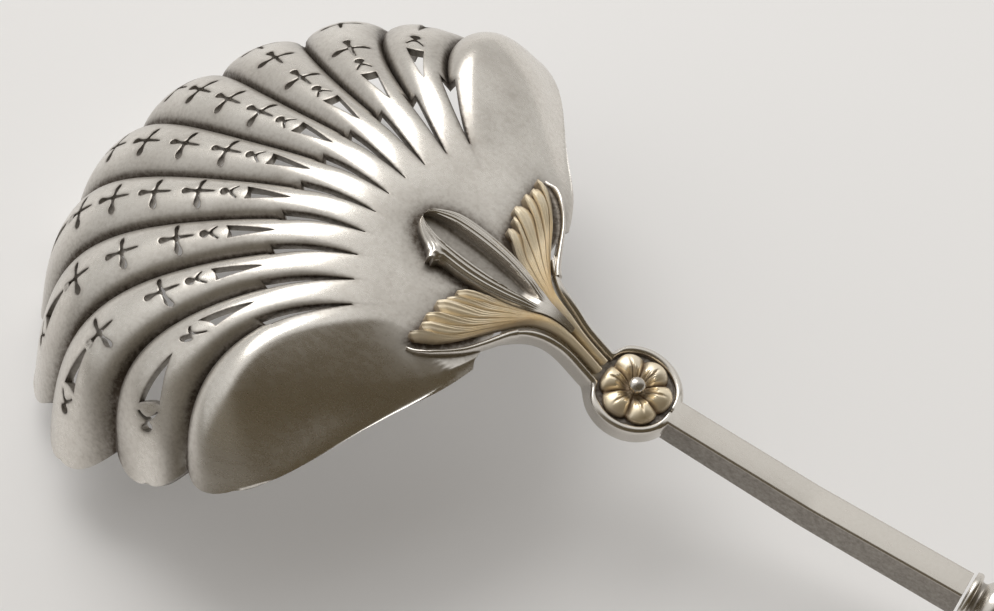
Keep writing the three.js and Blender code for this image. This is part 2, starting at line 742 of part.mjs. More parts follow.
function addPiece(name, geometry, material) {
  const flat = geometry.clone();
  flat.deleteAttribute('normal');
  flat.deleteAttribute('uv');
  const clean = mergeVertices(flat, 1e-5);
  clean.computeVertexNormals();
  const mesh = new THREE.Mesh(clean, material);
  mesh.name = name;
  spoon.add(mesh);
}

addPiece('bowl', bowlGeometry(), silver);
addPiece('neck_shank', shankGeometry(), silver);
addPiece('leaf_far', leafGeometry(1), gilt);
addPiece('leaf_near', leafGeometry(-1), gilt);
addPiece('bud', budGeometry(), silver);
addPiece('wing_border_far', borderGeometry(1), silver);
addPiece('wing_border_near', borderGeometry(-1), silver);
addPiece('rosette', rosetteGeometry(), gilt);
addPiece('rosette_pin', pinGeometry(), silver);
addPiece('knop', knopGeometry(), silver);
addPiece('grip', gripGeometry(), silver);
addPiece('terminal', terminalGeometry(), silver);

const box = new THREE.Box3().setFromObject(spoon);
const middle = box.getCenter(new THREE.Vector3());
for (const mesh of spoon.children) {
  mesh.geometry.translate(-middle.x, -middle.y, -box.min.z);
}

export default spoon;
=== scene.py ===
import bpy
import numpy as np
from mathutils import Matrix, Vector
from mathutils.geometry import delaunay_2d_cdt


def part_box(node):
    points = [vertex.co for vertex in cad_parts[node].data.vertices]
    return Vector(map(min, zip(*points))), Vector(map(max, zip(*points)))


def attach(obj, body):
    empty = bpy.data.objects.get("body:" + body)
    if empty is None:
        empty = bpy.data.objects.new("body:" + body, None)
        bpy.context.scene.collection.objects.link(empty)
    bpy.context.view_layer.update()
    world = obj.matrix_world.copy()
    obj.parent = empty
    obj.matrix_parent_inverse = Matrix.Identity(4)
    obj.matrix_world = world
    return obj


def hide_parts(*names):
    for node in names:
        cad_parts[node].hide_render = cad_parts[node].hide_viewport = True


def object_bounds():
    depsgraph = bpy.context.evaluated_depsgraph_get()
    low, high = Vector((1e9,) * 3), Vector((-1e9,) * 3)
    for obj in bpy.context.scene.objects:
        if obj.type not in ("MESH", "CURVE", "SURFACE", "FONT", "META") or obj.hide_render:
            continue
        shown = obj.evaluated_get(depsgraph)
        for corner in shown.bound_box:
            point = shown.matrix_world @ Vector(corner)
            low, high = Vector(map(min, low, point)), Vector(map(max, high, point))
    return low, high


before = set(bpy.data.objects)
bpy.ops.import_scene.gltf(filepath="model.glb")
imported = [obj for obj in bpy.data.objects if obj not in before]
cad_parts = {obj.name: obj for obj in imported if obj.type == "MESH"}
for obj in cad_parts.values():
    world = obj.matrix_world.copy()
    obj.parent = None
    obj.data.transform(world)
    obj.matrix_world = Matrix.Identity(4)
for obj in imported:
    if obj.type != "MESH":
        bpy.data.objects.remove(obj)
cadBox = [list(corner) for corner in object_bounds()]
mm = 0.001
print("frame loaded:", len(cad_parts), "nodes")


# small helpers
def ease(x, low, high):  # 0 below low, 1 above high, a smooth S between
    t = np.clip((x - low) / (high - low), 0, 1)
    return t * t * (3 - 2 * t)


def easeTurn(angle, span):  # the same S between two angles given in degrees
    return ease(angle, *np.radians(span))


def bell(x, centre, width):  # 1 at the centre, about a third one width away, 0 far off
    return np.exp(-((x - centre) / width) ** 2)


def mix(a, b, t):  # a at t = 0, b at t = 1, straight between
    return a + (b - a) * t


def softMin(a, b, soft):  # the lower of two heights, rounded where they come within soft
    return np.minimum(a, b) - soft * np.maximum(0, 1 - np.abs(a - b) / soft) ** 2 / 4


def unit(vectors):  # vectors scaled to length 1
    return vectors / np.linalg.norm(vectors, axis=-1, keepdims=True)


def splineThrough(marks):  # Catmull-Rom curve through (s, q) marks, as a function of 0..1
    pts = np.array(marks, float)
    ext = np.vstack([2 * pts[0] - pts[1], pts, 2 * pts[-1] - pts[-2]])

    def at(t):
        t = np.asarray(t, float) * (len(pts) - 1)
        i = np.clip(np.floor(t).astype(int), 0, len(pts) - 2)
        f = (t - i)[..., None]
        a, b, c, d = ext[i], ext[i + 1], ext[i + 2], ext[i + 3]
        bent = (2 * a - 5 * b + 4 * c - d) * f ** 2 + (3 * b - a - 3 * c + d) * f ** 3
        return 0.5 * (2 * b + (c - a) * f + bent)
    return at


def uvGrid(rows, cols, low):  # u from 0 to 1 down the rows, v from low to 1 across
    return np.meshgrid(np.linspace(0, 1, rows), np.linspace(low, 1, cols), indexing="ij")


def turns(n):  # n angles round a circle
    return np.linspace(0, 2 * np.pi, n + 1)[:-1]


def arc(cx, cy, r, a, b, n):  # n points of a circle about (cx, cy) from angle a to b
    t = np.radians(np.linspace(a, b, n))
    return np.stack([cx + r * np.cos(t), cy + r * np.sin(t)], -1)


def meshPiece(name, node, finish, points, faces, patinaAndShade, sharp):  # points from the fan's centre
    mesh = bpy.data.meshes.new(name)
    mesh.from_pydata(((points.reshape(-1, 3) + shift) * mm).tolist(), [], faces, shade_flat=False)
    mesh.update()
    mesh.set_sharp_from_angle(angle=np.radians(sharp))
    layer = mesh.attributes.new("patinaAndShade", "FLOAT", "POINT")
    layer.data.foreach_set("value", np.clip(patinaAndShade, 0, 1).astype(np.float32).ravel())
    mesh.materials.append(finish)
    piece = bpy.data.objects.new(name, mesh)
    bpy.context.collection.objects.link(piece)
    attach(piece, "root")
    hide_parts(node)


def gridFaces(rows, cols, wrap=False, start=0):  # quads of a grid, each row closed into a ring if wrapped
    i, j = np.meshgrid(np.arange(rows - 1), np.arange(cols if wrap else cols - 1), indexing="ij")
    a, b = i * cols + j, (i + 1) * cols + j
    c, d = (i + 1) * cols + (j + 1) % cols, i * cols + (j + 1) % cols
    return np.stack([a, b, c, d], -1).reshape(-1, 4) + start


def tubeFaces(rows, cols, start=0):  # sides and both end caps of a tube of rings
    sides = gridFaces(rows, cols, True, start)[:, ::-1].tolist()
    ends = np.arange(rows * cols).reshape(rows, cols) + start
    return sides + [ends[0].tolist(), ends[-1, ::-1].tolist()]


def slabMesh(top, base):  # two sheets of the same grid, joined round their edge into a closed slab
    rows, cols = top.shape[:2]
    n = rows * cols
    quads = gridFaces(rows, cols)
    ids = np.arange(n).reshape(rows, cols)
    ring = np.concatenate([ids[0, :-1], ids[:-1, -1], ids[-1, :0:-1], ids[:0:-1, 0]])
    nxt = np.roll(ring, -1)
    wall = np.stack([ring + n, nxt + n, nxt, ring], -1)
    faces = np.vstack([quads[:, ::-1], quads + n, wall]).tolist()
    return np.concatenate([top.reshape(-1, 3), base.reshape(-1, 3)]), faces


# the bowl's back and the handle's line, in mm and degrees from the fan's centre, near the solids' numbers
bowl = {
    "tilt": 21.4, "depth": 14.78, "sideFall": 2.14, "fallSpan": (8, 50), "wall": 0.9,
    "radius": 29.43, "reach": 28.38, "shoulderSwell": 0.161, "swellSpan": (46, 60),
    "frontSwell": 0.064, "frontAt": 38, "frontWidth": 12, "cornerPower": 18.0,
    "shoulderSlope": 1.226, "shoulderFoot": 11.97, "sideEdge": 89.0,
    "wingRise": 2.08, "wingSpan": (40, 60), "wingTip": 0.5, "wingTipSpan": (62, 72),
    "rimDip": 1.06, "dipAt": 36, "dipWidth": 14, "wingStart": 0.6, "wingLag": 0.12, "wingHeel": 11.6,
    "crownPower": 9.56, "sidePower": 8.11, "sideSpan": (8, 44), "shoulderPower": 3.6,
    "shoulderSpan": (45, 80), "wallPower": 1.16, "blend": 3.0,
    "lobePairs": 4, "lobeIn": 12.7, "lobeOut": 12.35, "lobePinch": 2.06, "lobeRise": 1.5,
    "grooveSink": 0.45, "archPower": 0.9, "bandFall": 1.7, "grooveStart": 13.2, "grooveFade": 14.0,
    "grooveLag": 2.2, "lagTurn": 0.84, "scallop": 0.045, "flare": 1.3,
    "columns": 24, "plainColumns": 36, "rows": 110,
}
neck = {
    "tilt": 17.0, "seat": 1.85, "borderWidth": 0.9, "borderRise": 0.65, "halfWidth": 2.2,
    "rootHalfWidth": 4.75, "root": -1.07, "flareLength": 6.5, "flarePower": 2.6, "cornerSoft": 1.6,
    "thickness": 2.5, "edgeRound": 0.45,
    "discFrom": 9.6, "discCentre": 14.1, "discRadius": 5.0,
    "barWidth": 3.1, "barNear": 3.5, "barFar": 4.5, "barSink": 0.6, "barEnd": 52.5, "barRound": 0.28,
    "slopes": [[0, 17], [1, 17], [4, 44.5], [8, 44.5], [11.5, 12], [19, 12], [20, 11.5], [34, 11.5],
               [36, 7.8], [58, 7.8], [63, 12.2], [84, 12.2], [93, 0.8], [140, 0.8]],  # place, degrees down
}
lastGroove = bowl["lobePairs"] + 0.5  # lobe number of the outermost groove
seatTurn = np.radians(bowl["tilt"] + neck["tilt"])
plateTop = neck["seat"] + neck["borderRise"]
axisLevel = plateTop - neck["barFar"] / 2
tiltCos, tiltSin = np.cos(np.radians(bowl["tilt"])), np.sin(np.radians(bowl["tilt"]))


def rimRadius(theta):  # far arc of the rim, fuller at the shoulders, cut by two straight sides
    bend = np.abs(theta)
    far = bowl["reach"] * np.cos(bend) + np.sqrt(bowl["radius"] ** 2 - (bowl["reach"] * np.sin(bend)) ** 2)
    swell = bowl["shoulderSwell"] * easeTurn(bend, bowl["swellSpan"])
    swell = swell + bowl["frontSwell"] * bell(np.degrees(bend), bowl["frontAt"], bowl["frontWidth"])
    far = far * (1 + swell)
    side = np.maximum(0, np.sin(bend) - bowl["shoulderSlope"] * np.cos(bend)) / bowl["shoulderFoot"]
    power = bowl["cornerPower"]
    return (far ** -power + side ** power) ** (-1 / power)


def rimLevel(theta):  # height of the rim itself: raised along the wings, dipped at the front corners
    bend = np.abs(theta)
    raised = bowl["wingRise"] * easeTurn(bend, bowl["wingSpan"])
    raised = raised + bowl["wingTip"] * easeTurn(bend, bowl["wingTipSpan"])
    return raised - bowl["rimDip"] * bell(np.degrees(bend), bowl["dipAt"], bowl["dipWidth"])


def outShare(depth):  # share of the way to the rim; equal steps of depth lie closer near it
    return 1 - (1 - depth) ** 2


def lobePitch(share):  # angle from one crest to the next, pinched half way out
    pinch = bowl["lobePinch"] * np.sin(np.pi * share)
    return np.radians(mix(bowl["lobeIn"], bowl["lobeOut"], share) - pinch)


def fanAngle(lobe, depth):  # lobe number, whole at a crest and half at a groove, to an angle of the fan
    pitch = lobePitch(outShare(depth))
    beyond = np.maximum(0, np.abs(lobe) - lastGroove)
    spread = (np.radians(bowl["sideEdge"]) - (lastGroove + 1) * pitch) * beyond ** 2
    return np.sign(lobe) * (np.abs(lobe) * pitch + spread)


def lobeOffset(theta, share, fall):  # 0 on a crest, 1 in a groove, falling to 0 past the last one
    place = np.abs(theta) / lobePitch(share)
    past = place - lastGroove
    fluted, band = 2 * np.abs(place - np.round(place)), np.maximum(0, 1 - fall * past)
    return np.minimum(1, np.where(past > 0, band, fluted))


def wingShare(theta, r):  # 0 up to the crease of a side wing, then way from the crease to the rim, 0 to 1
    rim = rimRadius(theta)
    pitch = lobePitch(np.clip(r / rim, 0, 1))
    start = bowl["wingStart"] + bowl["wingLag"] * ease(r / rim, 0.5, 0.9)
    side = (np.abs(theta) / pitch - lastGroove - start) * pitch * r
    past = softMin(side, r - bowl["wingHeel"], bowl["blend"])
    past = (past + np.sqrt(past ** 2 + 0.09)) / 2 * ease(past, -1.0, 0.3)  # never below 0, the bend rounded
    return np.clip(past / np.maximum(1e-6, past + np.maximum(0, rim - r)), 0, 1)


def seatLevel(p):  # sloping plane under the neck, over the rim plane
    return np.tan(seatTurn) * (neck["seat"] / np.sin(seatTurn) - p)


def backLevel(theta, r):  # height over the rim plane: a dome shaved by the sloping seat
    bend = np.abs(theta)
    share = np.clip(r / rimRadius(theta), 0, 1)
    level = rimLevel(theta)
    top = bowl["depth"] - bowl["sideFall"] * easeTurn(bend, bowl["fallSpan"])
    power = mix(bowl["crownPower"], bowl["sidePower"], easeTurn(bend, bowl["sideSpan"]))
    power = mix(power, bowl["shoulderPower"], easeTurn(bend, bowl["shoulderSpan"]))
    dome = level + (top - level) * np.maximum(0, 1 - share ** power) ** bowl["wallPower"]
    return softMin(dome, seatLevel(-r * np.cos(theta)), bowl["blend"])


def backHeight(p, q):  # the same back at a place of the rim plane, with the wings sunk and no lobes
    theta, r = np.arctan2(q, -p), np.hypot(p, q)
    level = rimLevel(theta)
    winged = level + (backLevel(theta, r) - level) * (1 - wingShare(theta, r))
    return np.where(p > -1, seatLevel(p), winged)


def bowlFrame(p, q, h):  # rim plane tipped by the bowl's tilt
    return np.stack([p * tiltCos - h * tiltSin, q + 0 * h, p * tiltSin + h * tiltCos], -1)


def bowlBase(theta, depth):  # smooth back before the lobes; depth 0 at the fan's centre, 1 at the rim
    r = outShare(depth) * rimRadius(theta)
    return bowlFrame(-r * np.cos(theta), r * np.sin(theta), backLevel(theta, r))


def bowlNormal(theta, depth):  # square to two short steps on the smooth back
    d, inner = 0.004, np.maximum(0.02, depth)
    along = bowlBase(theta, np.minimum(1, inner + d)) - bowlBase(theta, inner - d)
    around = bowlBase(theta + d, inner) - bowlBase(theta - d, inner)
    return unit(np.cross(around, along))


def grooveFrom(theta):  # distance at which the grooves begin, further out on the side lobes
    return bowl["grooveStart"] + bowl["grooveLag"] * (theta / bowl["lagTurn"]) ** 2


def lobeRelief(theta, depth):  # half-round arch of each lobe, crest raised, grooves sunk, growing outwards
    share = outShare(depth)
    start = grooveFrom(theta)
    rise = bowl["lobeRise"] * ease(share * rimRadius(theta), start - 1.5, start + bowl["grooveFade"])
    arch = np.sqrt(1 - lobeOffset(theta, share, bowl["bandFall"]) ** 2) ** bowl["archPower"]
    return rise * mix(-bowl["grooveSink"], 1.0, arch)


def bowlSkin(lobe, depth, lift=0.0):  # back plus lobes, leaning out at the rim, notched, wings sunk, lifted
    theta = fanAngle(lobe, depth)
    share = outShare(depth)
    notch = lobeOffset(theta, share, bowl["bandFall"]) ** 2.5 * ease(share, 0.82, 1.0)
    share = share * (1 - bowl["scallop"] * notch)
    depth = 1 - np.sqrt(1 - share)
    n = bowlNormal(theta, depth)
    outwards = bowlFrame(-np.cos(theta), np.sin(theta), 0 * theta)
    way = unit(outwards * (bowl["flare"] * ease(share, 0.75, 1.0))[..., None] + n)
    x, y, z = np.moveaxis(bowlBase(theta, depth) + way * lobeRelief(theta, depth)[..., None], -1, 0)
    h, level = z * tiltCos - x * tiltSin, rimLevel(theta)
    sunk = level + (h - level) * (1 - wingShare(theta, share * rimRadius(theta)))
    skin = bowlFrame(x * tiltCos + z * tiltSin, y, np.where(h > level, sunk, h))
    return skin + n * (lift + 0 * theta)[..., None]


def slopeAt(s):  # slope of the handle's line: smooth steps between the marks
    marks = np.array(neck["slopes"], float)
    value = np.full(np.shape(s), marks[0, 1])
    for (a, low), (b, high) in zip(marks[:-1], marks[1:]):
        value = np.where(s > a, mix(low, high, ease(s, a, b)), value)
    return np.radians(value)


spineStep = 0.25
spineAt = np.arange(0, neck["slopes"][-1][0] + 0.001, spineStep)
spineTurn = slopeAt(spineAt[:-1] + spineStep / 2)
spineX = np.concatenate([[0], np.cumsum(spineStep * np.cos(spineTurn))])
spineZ = np.concatenate([[0], np.cumsum(-spineStep * np.sin(spineTurn))])


def alongSpine(s, q, k):  # s along the handle's line, q across, k above it
    s, q, k = np.broadcast_arrays(np.asarray(s, float), np.asarray(q, float), np.asarray(k, float))
    turn, back = slopeAt(s), np.minimum(0, s)
    x = np.interp(np.maximum(0, s), spineAt, spineX) + k * np.sin(turn) + back * np.cos(turn)
    z = np.interp(np.maximum(0, s), spineAt, spineZ) + k * np.cos(turn) - back * np.sin(turn)
    return np.stack([x, q, z], -1)


def onSeat(s, q, lift):  # a place of the palmette: over the bowl it follows the back, past it the neck
    s, q, lift = np.broadcast_arrays(np.asarray(s, float), np.asarray(q, float), np.asarray(lift, float))
    p = s * np.cos(seatTurn) + neck["seat"] * np.sin(seatTurn)
    d = 0.05
    slopeP = (backHeight(p + d, q) - backHeight(p - d, q)) / (2 * d)
    slopeQ = (backHeight(p, q + d) - backHeight(p, q - d)) / (2 * d)
    n = unit(np.stack([-slopeP, -slopeQ, np.ones_like(p)], -1)) * lift[..., None]
    over = bowlFrame(p + n[..., 0], q + n[..., 1], backHeight(p, q) + n[..., 2])
    return np.where((s >= 0)[..., None], alongSpine(s, q, neck["seat"] + lift), over)


tip, foot = bowlSkin(np.zeros(2), np.ones(2), np.array([0.0, -bowl["wall"]]))  # both edges of the tip
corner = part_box("bowl")[0]
shift = np.array([corner[0] / mm - tip[0], 0.0, corner[2] / mm - foot[2]])
print("fan centre at", np.round(shift, 2), "mm")


# camera at the photograph's place, and the light
view = {
    "lens": 119.52, "sensor": 36.0, "elevation": 55.22, "azimuth": 29.652, "roll": 0.383,
    "distance": 330.8, "right": 3.156, "up": -0.678,
}


def placeCamera():  # on a sphere about the fan's centre, then moved right and up and rolled
    e, a, t = np.radians(view["elevation"]), np.radians(view["azimuth"]), np.radians(view["roll"])
    back = np.array([np.cos(e) * np.sin(a), -np.cos(e) * np.cos(a), np.sin(e)])
    right = np.array([np.cos(a), np.sin(a), 0.0])
    up = np.cross(back, right)
    right, up = np.cos(t) * right + np.sin(t) * up, np.cos(t) * up - np.sin(t) * right
    spot = (view["distance"] * back - view["right"] * right - view["up"] * up + shift) * mm
    lens = bpy.data.cameras.new("photoCamera")
    lens.lens, lens.sensor_width, lens.sensor_fit = view["lens"], view["sensor"], "HORIZONTAL"
    lens.clip_start, lens.clip_end = 0.01, 20.0
    cam = bpy.data.objects.new("photoCamera", lens)
    cam.matrix_world = Matrix(np.vstack([np.stack([right, up, back, spot], -1), [0, 0, 0, 1]]).tolist())
    bpy.context.collection.objects.link(cam)
    bpy.context.scene.camera = cam


class Wire:  # a shader socket that can be added, multiplied and so on
    def __init__(self, tree, socket):
        self.tree, self.socket = tree, socket

    def math(self, operation, *inputs):  # a math node fed with wires or numbers
        node = self.tree.nodes.new("ShaderNodeMath")
        node.operation = operation
        for slotAt, value in zip(node.inputs, inputs):
            if isinstance(value, Wire):
                self.tree.links.new(value.socket, slotAt)
            else:
                slotAt.default_value = value
        return Wire(self.tree, node.outputs[0])

    def __add__(self, other):
        return self.math("ADD", self, other)

    def __radd__(self, other):
        return self.math("ADD", other, self)

    def __sub__(self, other):
        return self.math("SUBTRACT", self, other)

    def __rsub__(self, other):
        return self.math("SUBTRACT", other, self)

    def __mul__(self, other):
        return self.math("MULTIPLY", self, other)

    def __rmul__(self, other):
        return self.math("MULTIPLY", other, self)

    def __truediv__(self, other):
        return self.math("DIVIDE", self, other)

    def clip(self):  # kept between 0 and 1
        return self.math("MINIMUM", self.math("MAXIMUM", self, 0.0), 1.0)

    def span(self, low, high):  # 0 at low, 1 at high
        return ((self - low) / (high - low)).clip()


class Bench:  # node tree of a material or the world
    def __init__(self, owner):
        owner.use_nodes = True
        self.tree = owner.node_tree
        self.tree.nodes.clear()

    def node(self, kind, settings, sockets, out=0):  # a node with its settings and inputs, and one output
        made = self.tree.nodes.new(kind)
        for key, value in settings.items():
            setattr(made, key, value)
        for key, value in sockets.items():
            if isinstance(value, Wire):
                self.tree.links.new(value.socket, made.inputs[key])
            else:
                made.inputs[key].default_value = value
        return Wire(self.tree, made.outputs[out]) if made.outputs else None

    def tint(self, mask, low, high):  # colour low where the mask is 0, high where it is 1
        return self.node("ShaderNodeMix", {"data_type": "RGBA"}, {0: mask, 6: low, 7: high}, 2)

    def part(self, vector, axis):  # one coordinate of a vector
        return self.node("ShaderNodeSeparateXYZ", {}, {0: vector}, axis)

    def dot(self, vector, way):  # how far a vector points along a way
        return self.node("ShaderNodeVectorMath", {"operation": "DOT_PRODUCT"}, {0: vector, 1: way}, "Value")

    def place(self, kind):  # coordinates of the shaded place
        return self.node("ShaderNodeTexCoord", {}, {}, kind)

    def ray(self, kind):  # 1 for a ray of that kind
        return self.node("ShaderNodeLightPath", {}, {}, kind)

    def patinaAndShade(self):  # tarnish and painted shade kept with the mesh
        return self.node("ShaderNodeAttribute", {"attribute_name": "patinaAndShade"}, {}, "Fac")

    def spots(self, scale, detail, rough, stretch=(1.0, 1.0, 1.0)):  # noise fixed to the object
        where = self.node("ShaderNodeMapping", {}, {"Vector": self.place("Object"), "Scale": stretch})
        sockets = {"Vector": where, "Scale": scale, "Detail": detail, "Roughness": rough}
        return self.node("ShaderNodeTexNoise", {}, sockets)

    def skin(self, colour, metal, rough, bump):  # one shader for the whole surface
        sockets = {"Base Color": colour, "Metallic": metal, "Roughness": rough, "Normal": bump}
        self.finish(self.node("ShaderNodeBsdfPrincipled", {}, sockets))

    def finish(self, shader):  # shader to the output
        self.node("ShaderNodeOutputMaterial", {}, {"Surface": shader})


studio = {
    "high": (0.82, 0.81, 0.79, 1), "low": (0.64, 0.63, 0.61, 1), "highSpan": (0.35, 0.75),
    "dim": (0.10, 0.080, 0.050, 1), "fill": (0.18, 0.158, 0.122, 1), "fillSpan": (0.30, 0.80),
    "brightWay": (-0.80, 0.60, 0.0), "brightSpan": (-0.16, 0.10), "fillWay": (-0.60, -1.0, -0.35),
    "keyPower": 4.7, "keySize": 0.8, "keyAt": (-0.54, 0.40, 0.80), "keyAim": (-0.02, 0, 0.01),
    "keyColour": (1.0, 0.985, 0.96),
}
# near and far give a painted light falloff; edge is a painted dark surround, seen as a reflection in the
# metal
table = {
    "far": (0.96, 0.955, 0.955, 1), "near": (0.88, 0.87, 0.865, 1), "falloffSpan": (-0.07, 0.06),
    "edge": (0.20, 0.18, 0.15, 1), "darkSurroundSpan": (-0.13, -0.06), "glow": 0.18, "rough": 0.75, "half": 3.0,
    "shine": 0.2, "lines": 9,
}


def lightRoom():  # a pale window side far and left, brightest high up; a dim side where the viewer stands
    world = bpy.data.worlds.new("room")
    bpy.context.scene.world = world
    room = Bench(world)
    way = room.place("Generated")
    pale = room.tint(room.part(way, "Z").span(*studio["highSpan"]), studio["low"], studio["high"])
    filled = room.dot(way, studio["fillWay"]).span(*studio["fillSpan"])
    bright = room.dot(way, studio["brightWay"]).span(*studio["brightSpan"])
    colour = room.tint(bright, room.tint(filled, studio["dim"], studio["fill"]), pale)
    back = room.node("ShaderNodeBackground", {}, {"Color": colour, "Strength": 1.0})
    room.node("ShaderNodeOutputWorld", {}, {"Surface": back})
    lamp = bpy.data.lights.new("windowLight", "AREA")
    lamp.shape, lamp.size = "DISK", studio["keySize"]
    lamp.energy, lamp.color = studio["keyPower"], studio["keyColour"]
    key = bpy.data.objects.new("windowLight", lamp)
    aim = Vector(studio["keyAim"]) - Vector(studio["keyAt"])
    turn = aim.to_track_quat("-Z", "Y").to_matrix().to_4x4()
    key.matrix_world = Matrix.Translation(studio["keyAt"]) @ turn
    bpy.context.collection.objects.link(key)


def layFloor():  # cloth with painted light falloff and painted dark surround, and a little light of its own
    mat = bpy.data.materials.new("tableCloth")
    bench = Bench(mat)
    along = bench.part(bench.place("Object"), "Y")
    # painted light falloff: the cloth paler away from the viewer
    falloffCloth = bench.tint(along.span(*table["falloffSpan"]), table["near"], table["far"])
    # painted dark surround past the near side, seen only as a dark reflection in the metal
    pale = bench.tint(along.span(*table["darkSurroundSpan"]), table["edge"], falloffCloth)
    sockets = {"Base Color": pale, "Roughness": table["rough"], "Specular IOR Level": table["shine"]}
    cloth = bench.node("ShaderNodeBsdfPrincipled", {}, sockets)
    seen = bench.ray("Is Camera Ray") + bench.ray("Is Glossy Ray") + bench.ray("Is Transmission Ray")
    glow = bench.node("ShaderNodeEmission", {}, {"Color": pale, "Strength": 1.0})
    bench.finish(bench.node("ShaderNodeMixShader", {}, {0: seen.clip() * table["glow"], 1: cloth, 2: glow}))
    a = np.linspace(-1, 1, table["lines"]) * table["half"]
    x, y = np.meshgrid(a, a, indexing="ij")
    level = cadBox[0][2]
    mesh = bpy.data.meshes.new("table")
    points = np.stack([x, y, 0 * x + level], -1).reshape(-1, 3)
    mesh.from_pydata(points.tolist(), [], gridFaces(*x.shape).tolist())
    mesh.materials.append(mat)
    floor = bpy.data.objects.new("table", mesh)
    bpy.context.collection.objects.link(floor)


bpy.context.scene.view_settings.view_transform = "Standard"
placeCamera()
lightRoom()
layFloor()
print("camera, light and table set")


# finishes
# stain is the brown of tarnish and of painted shade
silver = {
    "bright": (0.80, 0.77, 0.72, 1), "dull": (0.60, 0.56, 0.51, 1), "stainAndShade": (0.085, 0.066, 0.050, 1),
    "rough": 0.21, "grain": 2200.0, "cloud": 130.0,
}
gilt = {
    "bright": (1.0, 0.87, 0.64, 1), "worn": (1.0, 0.92, 0.79, 1), "crease": (0.18, 0.115, 0.065, 1),
    "rough": 0.36, "grain": 1100.0, "cloud": 260.0,
}


def silverFinish(name, lineWay, wear, dim):  # worn satin silver, brown where the mesh's tarnish and painted shade are high
    mat = bpy.data.materials.new(name)
    bench = Bench(mat)
    cloud, grain = bench.spots(silver["cloud"], 4.0, 0.55), bench.spots(silver["grain"], 4.0, 0.65)
    lines = bench.spots(1.0, 3.0, 0.7, lineWay)  # fine strokes of the polishing
    # tarnish and painted shade from the mesh, with cloudy tarnish
    tarnishAndShade = (bench.patinaAndShade() * (0.55 + grain * 0.9) + cloud.span(0.55, 0.8) * 0.10).clip()
    worn = cloud.span(0.35, 0.7) * 0.45 + lines.span(0.5, 0.75) * 0.15 + grain.span(0.45, 0.75) * 0.45
    base = bench.tint(dim + worn * wear, silver["bright"], silver["dull"])
    colour = bench.tint(tarnishAndShade, base, silver["stainAndShade"])
    rough = silver["rough"] + grain * (0.10 * wear) + lines.span(0.45, 0.8) * 0.08 + tarnishAndShade * 0.22
    marks = {"Strength": 0.22 * wear, "Distance": 0.00006, "Height": grain * 0.55 + lines * 0.45}
    bench.skin(colour, 1.0 - tarnishAndShade * 0.35, rough, bench.node("ShaderNodeBump", {}, marks))
    return mat


def giltFinish(name, metal):  # rubbed gilding: gold with paler worn places, brown in the creases
    mat = bpy.data.materials.new(name)
    bench = Bench(mat)
    cloud, grain = bench.spots(gilt["cloud"], 4.0, 0.55), bench.spots(gilt["grain"], 3.0, 0.55)
    crease = (bench.patinaAndShade() * (0.6 + grain * 0.8)).clip()
    base = bench.tint(cloud.span(0.4, 0.75) * 0.8, gilt["bright"], gilt["worn"])
    colour = bench.tint(crease, base, gilt["crease"])
    rough = gilt["rough"] + grain * 0.14 + crease * 0.2
    marks = {"Strength": 0.3, "Distance": 0.00008, "Height": grain}
    bench.skin(colour, metal, rough, bench.node("ShaderNodeBump", {}, marks))
    return mat


bowlSilver = silverFinish("bowlSilver", (260.0, 1500.0, 1500.0), 1.0, 0.0)
handleSilver = silverFinish("handleSilver", (120.0, 2600.0, 2600.0), 0.15, 0.42)
leafGilt, rosetteGilt = giltFinish("leafGilt", 0.25), giltFinish("rosetteGilt", 0.85)
print("finishes mixed")


# palmette lines as (place along the seat, distance from its middle), also used for the tarnish round them
palmette = {
    "leafIn": [[8.9, 0.2], [5.3, 0.2], [2.6, 0.35], [0.4, 1.05], [-2.0, 1.9], [-4.2, 2.75], [-6.2, 4.1]],
    "leafOut": [[8.9, 0.95], [5.3, 0.95], [2.8, 1.35], [0.6, 2.6], [-0.8, 4.3], [-2.1, 6.3], [-3.6, 8.7],
                [-5.2, 10.5], [-7.1, 11.7]],
    "border": [[0.4, 4.0], [-0.15, 4.75], [-0.75, 5.85], [-1.5, 7.3], [-2.6, 9.2], [-4.2, 11.0],
               [-6.0, 12.1], [-7.3, 12.5]],
    "bud": [[3.6, 0.28], [2.0, 0.55], [0, 1.35], [-2, 2.05], [-5.0, 2.7], [-8.3, 2.95], [-11.2, 2.75],
            [-13.0, 1.9], [-13.9, 1.0], [-14.2, 0.04]],
    "lean": 0.062, "leafRise": 0.85, "fingers": 6, "ragged": [0.1, -0.5, 0.75, -0.2, 0.45, -0.45, 0.5],
    "fineLines": 4, "budRise": 1.35, "tipLeafAt": -10.7, "sunk": -0.25, "ridgeSunk": -0.2,
    "leafGrid": (120, 145, 0), "ridgeGrid": (70, 17, -1), "budGrid": (150, 101, -1),
}
leafIn, leafOut = splineThrough(palmette["leafIn"]), splineThrough(palmette["leafOut"])
borderLine, budLine = splineThrough(palmette["border"]), splineThrough(palmette["bud"])


def laid(s, q, lift):  # a place of the palmette, which leans a little to the far side beyond its stem
    turn = palmette["lean"] * ease(-s, -2.0, 4.0)
    return onSeat(s + turn * q, q - turn * s, lift)


